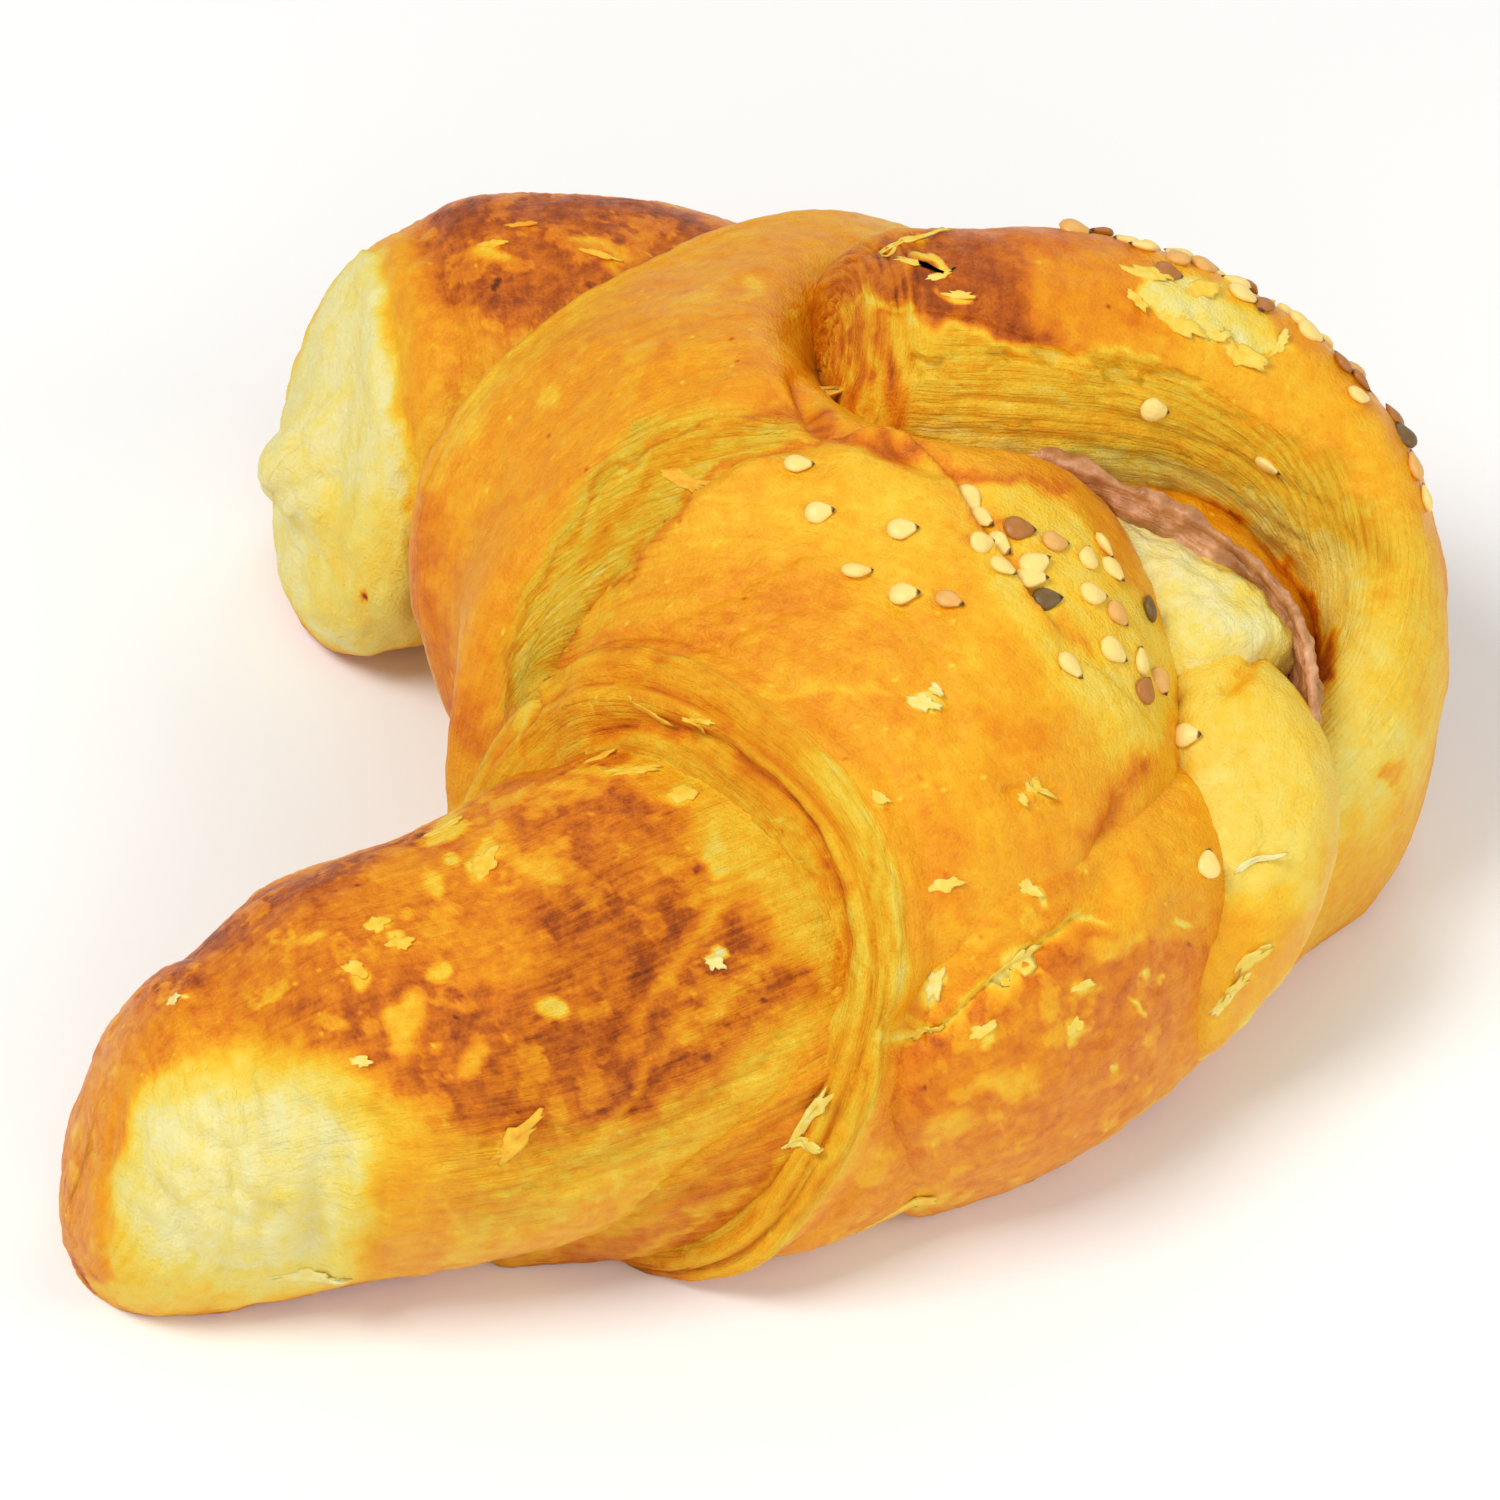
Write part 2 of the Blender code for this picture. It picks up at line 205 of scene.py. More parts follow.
def section(values, around, inset=0.0, shift=0.0):
    """A ring of points. inset shrinks it by that distance, and shift moves it along."""
    x, y, z, heading, half_width, rise, drop, lean, square = values
    a = math.radians(heading)
    along = np.array([math.cos(a), math.sin(a), 0.0])
    side = np.array([-math.sin(a), math.cos(a), 0.0])
    t = np.linspace(0, 2 * math.pi, around, endpoint=False) - 0.5 * math.pi
    t = t + TOP_CROWDING * np.cos(t)
    across = np.sign(np.cos(t)) * np.abs(np.cos(t)) ** (2 / square)
    up = np.sign(np.sin(t)) * np.abs(np.sin(t)) ** (2 / square)
    height = np.where(up > 0, max(rise - inset, 0.0), max(drop - inset, 0.0)) * up
    width = max(half_width - inset, 0.0) * across
    ring = np.outer(width, side) + np.outer(height, [0, 0, 1])
    ring += np.outer(height * lean + shift, along)
    return ring + [x, y, z]


def end_rings(values, around, cap, outward, steps, face):
    """The rings of an end: round its edge, then across its face to the middle."""
    depth, length = cap
    rings = []
    for k in range(1, steps + 1):
        a = 0.5 * math.pi * k / steps
        inset = depth * (1 - math.cos(a))
        rings.append(section(values, around, inset, outward * length * math.sin(a)))
    edge = rings[-1]
    middle = edge.mean(axis=0)
    for k in range(1, face):
        rings.append(middle + (edge - middle) * (1 - k / face))
    return rings


def loft(stations, samples, around, start, end):
    """All rings of a form. start and end are (how deep, how long, edge rings, face rings)."""
    rows = spline(stations, samples)
    first = end_rings(rows[0], around, start[:2], -1.0, *start[2:])[::-1]
    last = end_rings(rows[-1], around, end[:2], 1.0, *end[2:])
    body = [section(row, around) for row in rows]
    return np.array(first + body + last), len(first), len(last)


def roll_stations():
    top = ROLL_HEIGHT - AXIS_HEIGHT
    z = AXIS_HEIGHT
    return [
        station((-1.0, 32.0, z), -55, 34.0, 0.75 * top, z + 2, WRAP_LEAN),
        station((4.0, 14.6, z), -75, 30.5, 0.92 * top, z + 2, WRAP_LEAN),
        station((6.1, -3.0, z), -95, 32.9, top, z + 2, WRAP_LEAN),
        station((2.5, -16.0, z), -115, 29.0, 0.9 * top, z + 2, WRAP_LEAN, 2.4),
        station((-8.0, -23.5, z), -135, 24.0, 0.76 * top, z + 2, WRAP_LEAN, 2.5),
    ]


def front_arm_stations():
    r = ARM_RADIUS
    return [
        station((7.5, -14.0, 20), 206, r + 3.5, r, r + 2),
        station((-8.5, -22.0, 19), 206, r + 3.5, r, r + 2),
        station((-23.0, -28.0, 17), 205, r + 2.2, r - 1.5, r + 2),
        station((-37.0, -32.5, 16), 203, r - 0.3, r - 1.2, r + 2, -0.1),
        station((-47.5, -35.8, 14.5), 200, r - 4.5, r - 4.5, r + 2, -0.36),
    ]


def back_arm_stations():
    r = BACK_ARM_RADIUS
    return [
        station((4.0, 40.0, 20), 170, r, r - 1, r + 2),
        station((-12.0, 45.0, 20.5), 178, r, r, r + 2),
        station((-24.0, 45.5, 20), 188, r, r, r + 2),
        station((-34.0, 43.0, 19.5), 196, r - 1.5, r - 2.0, r + 1, -0.33),
    ]


def belly_stations():
    return [
        station((15.5, -26.4, 14.5), -5, 13.6, 17.0, 17.5),
        station((20.8, -24.2, 14.5), 20, 12.6, 19.4, 17.0),
        station((30.0, -16.0, 14.5), 50, 12.5, 17.8, 17.0),
        station((36.0, -3.0, 14), 80, 12.5, 15.0, 16.0),
        station((38.0, 12.0, 15), 110, 15.0, 16.0, 17.0),
        station((28.0, 25.0, 16), 145, 17.0, 20.0, 18.0),
    ]


def heart_stations():
    return [
        station((-4.0, 34.0, 14), -100, 12.0, 14.0, 16.0),
        station((-9.0, 16.0, 14), -95, 12.5, 14.0, 16.0),
        station((-8.5, 2.0, 14), -90, 12.5, 15.0, 16.0),
        station((-2.0, -14.0, 14), -85, 12.0, 16.0, 16.0),
    ]


def under_layer_stations():
    return [
        station((-21.0, -36.0, 9), 15, 6.5, 6.0, 12.0),
        station((-8.0, -33.5, 13), 18, 10.5, 10.0, 15.0),
        station((4.0, -28.0, 16), 30, 13.0, 15.0, 18.0),
    ]


def tongue_stations():
    w = TONGUE_HALF_WIDTH
    return [
        station((35.0, -14.0, 9), 40, w - 1, 10.0, 11.0),
        station((44.5, -5.0, 10), 52, w - 2, 12.0, 12.0),
        station((54.0, 4.0, 13), 72, w - 3, 15.0, 15.0),
        station((57.0, 14.5, 19), 98, w - 2.5, 14.0, 19.0),
        station((53.5, 25.0, 27), 128, w - 1, 12.0, 15.0),
        station((42.5, 31.0, 34), 155, w + 1, 11.5, 13.0),
        station((27.0, 31.6, 38.0), 174, w + 3.0, 13.0, 15.0),
        station((11.0, 30.0, 39.5), 188, w + 2.4, 12.5, 15.0, -0.35),
    ]


def inner_fold_stations():
    return [
        station((24.0, 17.0, 27), -10, 7.0, 9.0, 10.0),
        station((34.0, 12.0, 27), -35, 7.5, 9.0, 10.0),
        station((41.0, 4.0, 27), -60, 7.5, 9.0, 10.0),
    ]


def outer_fold_stations():
    return [
        station((40.0, 4.0, 24), -85, 6.0, 9.0, 10.0),
        station((43.0, -5.0, 24), -85, 8.0, 10.0, 10.0),
        station((42.0, -13.0, 20), -105, 8.5, 9.0, 10.0),
        station((36.0, -19.0, 15), -120, 8.0, 8.0, 10.0),
    ]


def ham_stations():
    half = 0.5 * HAM_THICKNESS
    tall = HAM_HALF_HEIGHT
    return [
        station((18.0, 22.5, 29), -8, half, tall, tall),
        station((29.0, 18.5, 29.5), -25, half, tall, tall),
        station((40.0, 13.5, 27.5), -38, half, tall, tall),
        station((47.5, 6.5, 24.5), -62, half, tall, tall),
        station((49.0, -2.0, 21), -92, half, tall, tall),
        station((47.0, -9.0, 17), -115, half, tall, tall),
    ]


# Each form: its stations, its rings and the points of a ring, and its two ends as
# (how deep, how long, rings round the edge, rings across the face).
FORMS = {
    "roll": (roll_stations, 208, 350, (2.0, 2.5, 8, 8), (2.0, 2.5, 10, 34)),
    "front_arm": (front_arm_stations, 200, 236, (2.0, 2.0, 4, 3), (12.0, 9.0, 68, 6)),
    "back_arm": (back_arm_stations, 130, 236, (2.0, 2.0, 4, 3), (7.0, 6.0, 32, 50)),
    "belly": (belly_stations, 240, 190, (6.0, 6.0, 10, 4), (6.0, 6.0, 8, 4)),
    "heart": (heart_stations, 90, 130, (4.0, 4.0, 6, 4), (4.0, 4.0, 6, 4)),
    "under_layer": (under_layer_stations, 96, 190, (5.0, 4.0, 10, 4), (4.0, 3.0, 5, 3)),
    "tongue": (tongue_stations, 300, 230, (4.0, 4.0, 12, 5), (4.0, 5.0, 20, 28)),
    "inner_fold": (inner_fold_stations, 84, 150, (4.0, 4.0, 8, 4), (4.0, 4.0, 8, 4)),
    "outer_fold": (outer_fold_stations, 104, 150, (4.0, 4.0, 10, 4), (4.0, 4.0, 10, 4)),
}
HAM_FORM = (ham_stations, 190, 80, (1.0, 1.0, 5, 4), (1.0, 1.0, 5, 4))

# The UV map counts in units of 100 mm.
UV_PER_MM = 0.01

# How far above the surface that it rests on each form is cut off, so that no two of their
# flat undersides share a plane.
FLAT_STEP = 0.02

CREASES = (
    (((4, 17, 49), (-5, 11, 46), (-13, 6, 40), (-18, -8, 32)), 1.3, 3.0),
    (((13, 11, 49), (17, 8, 48), (20, 2, 47), (23, -3, 45)), 0.9, 2.0),
    (((30, -24, 31), (24, -29, 31), (20, -32, 30), (13, -37, 27)), 1.5, 2.2),
    (((-37, -48, 10), (-36, -48, 17), (-33, -45, 25)), 0.9, 1.8),
    (((38, 22, 31), (43, 21, 28), (49, 18, 25)), 0.8, 2.0),
    (((-34, 44, 36), (-33, 34, 33), (-32, 27, 26)), 0.9, 2.2),
)
BED_LINE = ((18.0, 30.0), (27.0, 33.0), (43.0, 31.0))
BED_DEPTH = 15.0
BED_REACH = 13.0
BED_FLOOR = 8.0
UNEVEN = 0.45
UNEVEN_LENGTH = 9.0

# How far in pixels a painted edge strays, over what length in mm.
RAGGED_PIXELS = 11.0
RAGGED_LENGTH = 3.1
# How near a lip's ends, in pixels, it dies away.
LIP_FADE = 60

# The torn corner that sticks out of the back arm's end: where, which way and how far.
LOBE_AT = np.array([-40.0, 43.0, 16.3])
LOBE_HEADING = math.radians(200.0)
LOBE_LENGTH = 5.5
LOBE_RADIUS = 5.2


def line_distance(points, line):
    """How far each point is from a line through several corners."""
    nearest = np.full(len(points), np.inf)
    corners = np.array(line, float)
    for start, end in zip(corners, corners[1:]):
        run = end - start
        share = np.clip((points - start) @ run / (run @ run), 0.0, 1.0)
        gap = points - (start + share[:, None] * run)
        nearest = np.minimum(nearest, np.linalg.norm(gap, axis=1))
    return nearest


def press_bed(points):
    """Lowers the roll's upper side where the tongue lies on it."""
    near = np.exp(-((line_distance(points[:, :2], BED_LINE) / BED_REACH) ** 4))
    upper = np.clip((points[:, 2] - BED_FLOOR) / (ROLL_HEIGHT - BED_FLOOR), 0.0, 1.0)
    points[:, 2] -= BED_DEPTH * near * upper


def push_lobe(points, past_edge):
    """Pushes the torn corner out of the back arm's end."""
    out = np.array([math.cos(LOBE_HEADING), math.sin(LOBE_HEADING), 0.0])
    offset = points - LOBE_AT
    from_axis = np.linalg.norm(offset - np.outer(offset @ out, out), axis=1)
    points += np.outer(LOBE_LENGTH * past_edge * bell(from_axis, LOBE_RADIUS), out)


class Form:
    """One form of the dough: its points and directions, and what is baked on to it.

    bake goes from 0, pale raw-looking dough, to 1, dark brown. rings and grain say how
    strongly fine layers show, round the form or along it. crisp is how blistered and
    flaky the crust is, and gloss how shiny.
    """

    SURFACES = ("bake", "rings", "grain", "crisp", "gloss")

    def __init__(self, name, spec):
        stations, samples, around, start, end = spec
        rings, first, last = loft(stations(), samples, around, start, end)
        self.name = name
        self.count, self.around, _ = rings.shape
        points = rings.reshape(-1, 3).copy()
        row = np.repeat(np.arange(self.count), around)
        self.at_end = smooth(self.count - last - 1, self.count - last + end[2], row)
        self.at_start = smooth(first, first - start[2], row)
        self.body_rows = (first, self.count - last - 1)
        if name == "roll":
            press_bed(points)
        if name == "back_arm":
            push_lobe(points, self.at_end)
        self.points = points
        self.normals = self.find_normals()
        self.measure(rings)
        self.broad_relief()
        self.pixels = to_photo(self.points)
        sight = CAMERA_AT - self.points
        sight /= np.linalg.norm(sight, axis=1, keepdims=True)
        self.turned = np.einsum("ij,ij->i", sight, self.normals)
        self.facing = smooth(-0.02, 0.25, self.turned)
        wobble = [NOISE.layered(self.points / RAGGED_LENGTH + k, 3) for k in (0.0, 40.0)]
        self.ragged = self.pixels + RAGGED_PIXELS * np.stack(wobble, axis=1)
        self.height = np.zeros(len(points))
        for surface in self.SURFACES:
            setattr(self, surface, np.zeros(len(points)))

    def find_normals(self):
        """The outward direction at each point of the loft."""
        grid = self.points.reshape(self.count, self.around, 3)
        down = np.gradient(grid, axis=0)
        round_it = np.roll(grid, -1, axis=1) - np.roll(grid, 1, axis=1)
        normals = np.cross(round_it, down)
        outward = grid - grid.mean(axis=1, keepdims=True)
        if np.sum(normals * outward) < 0:
            normals = -normals
        size = np.linalg.norm(normals, axis=2, keepdims=True)
        return (normals / np.maximum(size, 1e-12)).reshape(-1, 3)

    def measure(self, rings):
        """Distances in mm along the form and round it, which the streaks follow."""
        steps = np.linalg.norm(np.diff(rings, axis=0), axis=2)
        along = np.concatenate([[0.0], np.cumsum(steps.mean(axis=1))])
        self.along = np.repeat(along, self.around)
        self.body_start, self.body_end = (along[row] for row in self.body_rows)
        edges = np.linalg.norm(np.roll(rings, -1, axis=1) - rings, axis=2)
        round_it = np.cumsum(edges.max(axis=0)) - 0.5 * edges.max(axis=0).sum()
        self.round_it = np.tile(round_it, self.count)

    def broad_relief(self):
        """The creases between layers and the unevenness that the solids have too."""
        depth = np.zeros(len(self.points))
        for line, deep, half_width in CREASES:
            near = bell(line_distance(self.points, line), half_width)
            depth = np.maximum(depth, deep * near)
        x, y, z = self.points.T / UNEVEN_LENGTH
        waves = np.sin(2.1 * x + 1.3 * y) + np.sin(1.7 * y - 2.3 * z + 1.0)
        waves += np.sin(2.9 * z + 1.1 * x)
        self.points += self.normals * (UNEVEN * waves / 3 - depth)[:, None]

    def paint(self, surface, value, share):
        """Moves a surface's value towards a new one, by a share from 0 to 1."""
        old = getattr(self, surface)
        setattr(self, surface, old + (value - old) * share)

    def stroke(self, line, half_width, pixels=None):
        """1 on a line in the photograph, falling off over its half width."""
        away = line_distance(self.ragged if pixels is None else pixels, line)
        return bell(away, half_width) * self.facing

    def spot(self, x, y, across, tall, turn=0.0, soft=0.35):
        """1 inside an oval in the photograph."""
        a = math.radians(turn)
        dx, dy = (self.ragged - (x, y)).T
        u = (dx * math.cos(a) + dy * math.sin(a)) / across
        v = (dy * math.cos(a) - dx * math.sin(a)) / tall
        return smooth(1 + soft, 1 - soft, np.hypot(u, v)) * self.facing

    def zone(self, corners, soft, seen=None):
        """1 inside a polygon in the photograph, with an edge that is soft pixels wide."""
        px, py = self.ragged.T
        inside = np.zeros(len(px), bool)
        ends = list(corners[1:]) + [corners[0]]
        for (x0, y0), (x1, y1) in zip(corners, ends):
            crosses = (y0 > py) != (y1 > py)
            if y0 != y1:
                inside ^= crosses & (px < (x1 - x0) * (py - y0) / (y1 - y0) + x0)
        away = line_distance(self.ragged, list(corners) + [corners[0]])
        signed = np.where(inside, away, -away)
        return smooth(-0.5 * soft, 0.5 * soft, signed) * (self.facing if seen is None else seen)

    def lip(self, line, step, reach, side):
        """A raised layer edge along a line, high on one side of it: side is 1 or -1."""
        corners = np.array(line, float)
        nearest = np.full(len(self.points), np.inf)
        signed = np.zeros(len(self.points))
        for start, end in zip(corners, corners[1:]):
            run = end - start
            share = np.clip((self.pixels - start) @ run / (run @ run), 0.0, 1.0)
            gap = self.pixels - (start + share[:, None] * run)
            away = np.linalg.norm(gap, axis=1)
            turn = np.sign(run[0] * gap[:, 1] - run[1] * gap[:, 0]) * side
            closer = away < nearest
            nearest = np.where(closer, away, nearest)
            signed = np.where(closer, turn * away, signed)
        ends = smooth(0, LIP_FADE, np.linalg.norm(self.pixels - corners[0], axis=1))
        ends = ends * smooth(0, LIP_FADE, np.linalg.norm(self.pixels - corners[-1], axis=1))
        rise = smooth(-3, 3, signed) * np.exp(-np.maximum(signed, 0) / reach)
        self.height += step * rise * self.facing * ends

    def mesh(self, low, high):
        """The form's mesh in metres, kept inside the box of the solids."""
        points = (self.points + self.normals * self.height[:, None] - MIDDLE) * MM
        points = np.clip(points, low, high)
        grid = np.arange(self.count * self.around).reshape(self.count, self.around)
        beside = np.roll(grid, -1, axis=1)
        quads = np.stack([grid[:-1], beside[:-1], beside[1:], grid[1:]], axis=2).reshape(-1, 4)
        first_pole, last_pole = len(points), len(points) + 1
        poles = [points[grid[0]].mean(axis=0), points[grid[-1]].mean(axis=0)]
        low_fan = [(first_pole, b, a) for a, b in zip(grid[0], beside[0])]
        high_fan = [(last_pole, a, b) for a, b in zip(grid[-1], beside[-1])]
        mesh = bpy.data.meshes.new(self.name)
        every = np.vstack([points, poles])
        mesh.vertices.add(len(every))
        mesh.vertices.foreach_set("co", every.astype(np.float32).ravel())
        fans = np.array(low_fan + high_fan)
        corners = np.concatenate([quads.ravel(), fans.ravel()])
        starts = np.concatenate(
            [np.arange(len(quads)) * 4, len(quads) * 4 + np.arange(len(fans)) * 3]
        )
        mesh.loops.add(len(corners))
        mesh.loops.foreach_set("vertex_index", corners.astype(np.int32))
        mesh.polygons.add(len(starts))
        mesh.polygons.foreach_set("loop_start", starts.astype(np.int32))
        mesh.update(calc_edges=True)
        mesh.validate()
        mesh.shade_smooth()
        self.add_surfaces(mesh, grid)
        return mesh

    def add_surfaces(self, mesh, grid):
        """Puts the surface values on the mesh's points, and the lengths in its UV map."""
        for surface in self.SURFACES:
            values = getattr(self, surface)
            values = np.append(values, [values[grid[0]].mean(), values[grid[-1]].mean()])
            layer = mesh.attributes.new(surface, "FLOAT", "POINT")
            layer.data.foreach_set("value", values.astype(np.float32))
        lengths = np.stack([self.along, self.round_it], axis=1)
        lengths = np.vstack([lengths, lengths[grid[0, :1]], lengths[grid[-1, :1]]])
        places = np.zeros(len(mesh.loops), np.int32)
        mesh.loops.foreach_get("vertex_index", places)
        uv = mesh.uv_layers.new(name="lengths")
        uv.data.foreach_set("uv", (lengths[places] * UV_PER_MM).astype(np.float32).ravel())


# How each form is baked before any mark: bake, rings, grain, crisp, gloss.
BASES = {
    "roll": (0.46, 0.2, 0.0, 0.4, 0.9),
    "front_arm": (0.56, 0.0, 0.35, 0.9, 0.7),
    "back_arm": (0.54, 0.15, 0.0, 0.8, 0.6),
    "belly": (0.52, 0.0, 0.12, 0.9, 0.7),
    "heart": (0.45, 0.0, 0.3, 0.5, 0.4),
    "under_layer": (0.50, 0.0, 0.7, 0.5, 0.5),
    "tongue": (0.46, 0.0, 0.35, 0.3, 0.5),
    "inner_fold": (0.05, 0.0, 0.2, 0.1, 0.2),
    "outer_fold": (0.24, 0.0, 0.1, 0.1, 0.8),
}

# Polygons and lines that more than one mark follows, in the photograph's pixels.
SLOPE = ((783, 412), (700, 405), (620, 440), (560, 510), (520, 600), (500, 700), (530, 745), (560, 700),
    (600, 620), (660, 530), (740, 465), (814, 447))
BESIDE_BELLY = ((890, 1010), (980, 1000), (970, 1230), (790, 1275), (870, 1150))
PALE_TIP = ((90, 1090), (170, 1060), (240, 1045), (340, 1060), (400, 1110), (430, 1180), (420, 1260),
    (340, 1320), (160, 1320), (80, 1290))
TIP_RIM = ((150, 955), (110, 1040), (80, 1090), (55, 1150), (45, 1200), (50, 1260), (85, 1285),
    (104, 1268), (108, 1190), (128, 1115), (160, 1060), (180, 1000))
ARM_WEDGE = ((650, 725), (720, 735), (790, 770), (845, 850), (850, 960), (800, 970), (745, 900),
    (700, 850), (640, 780))
BROKEN_END = ((376, 215), (372, 262), (382, 332), (385, 390), (405, 428), (408, 504), (412, 581),
    (424, 680), (280, 680), (220, 480), (260, 300), (320, 220))
BELLY_TOP = ((1010, 960), (1060, 926), (1095, 830), (1180, 740), (1240, 850), (1190, 940), (1120, 930),
    (1060, 945))
TONGUE_TOP = ((860, 225), (960, 205), (1100, 225), (1250, 255), (1340, 310), (1400, 390), (1445, 530),
    (1420, 530), (1380, 500), (1300, 440), (1230, 400), (1150, 360), (1050, 350), (950, 330), (880, 290))
UPPER_LIP = ((530, 745), (560, 680), (600, 610), (660, 530), (740, 465), (814, 447))
LOWER_LIP = ((500, 740), (520, 640), (560, 545), (620, 470), (700, 425), (783, 412))
LEFT_PLEAT = ((694, 870), (656, 931), (633, 1004), (606, 1053))
RIGHT_PLEAT = ((805, 977), (748, 1007), (694, 1049), (652, 1088), (633, 1111))
CRACK = ((1105, 915), (1075, 915), (1054, 931), (1031, 946), (1004, 969), (939, 1026), (889, 1040))
CRACK_LIP = ((1110, 910), (1075, 915), (1054, 931), (1004, 969), (939, 1026), (885, 1045))

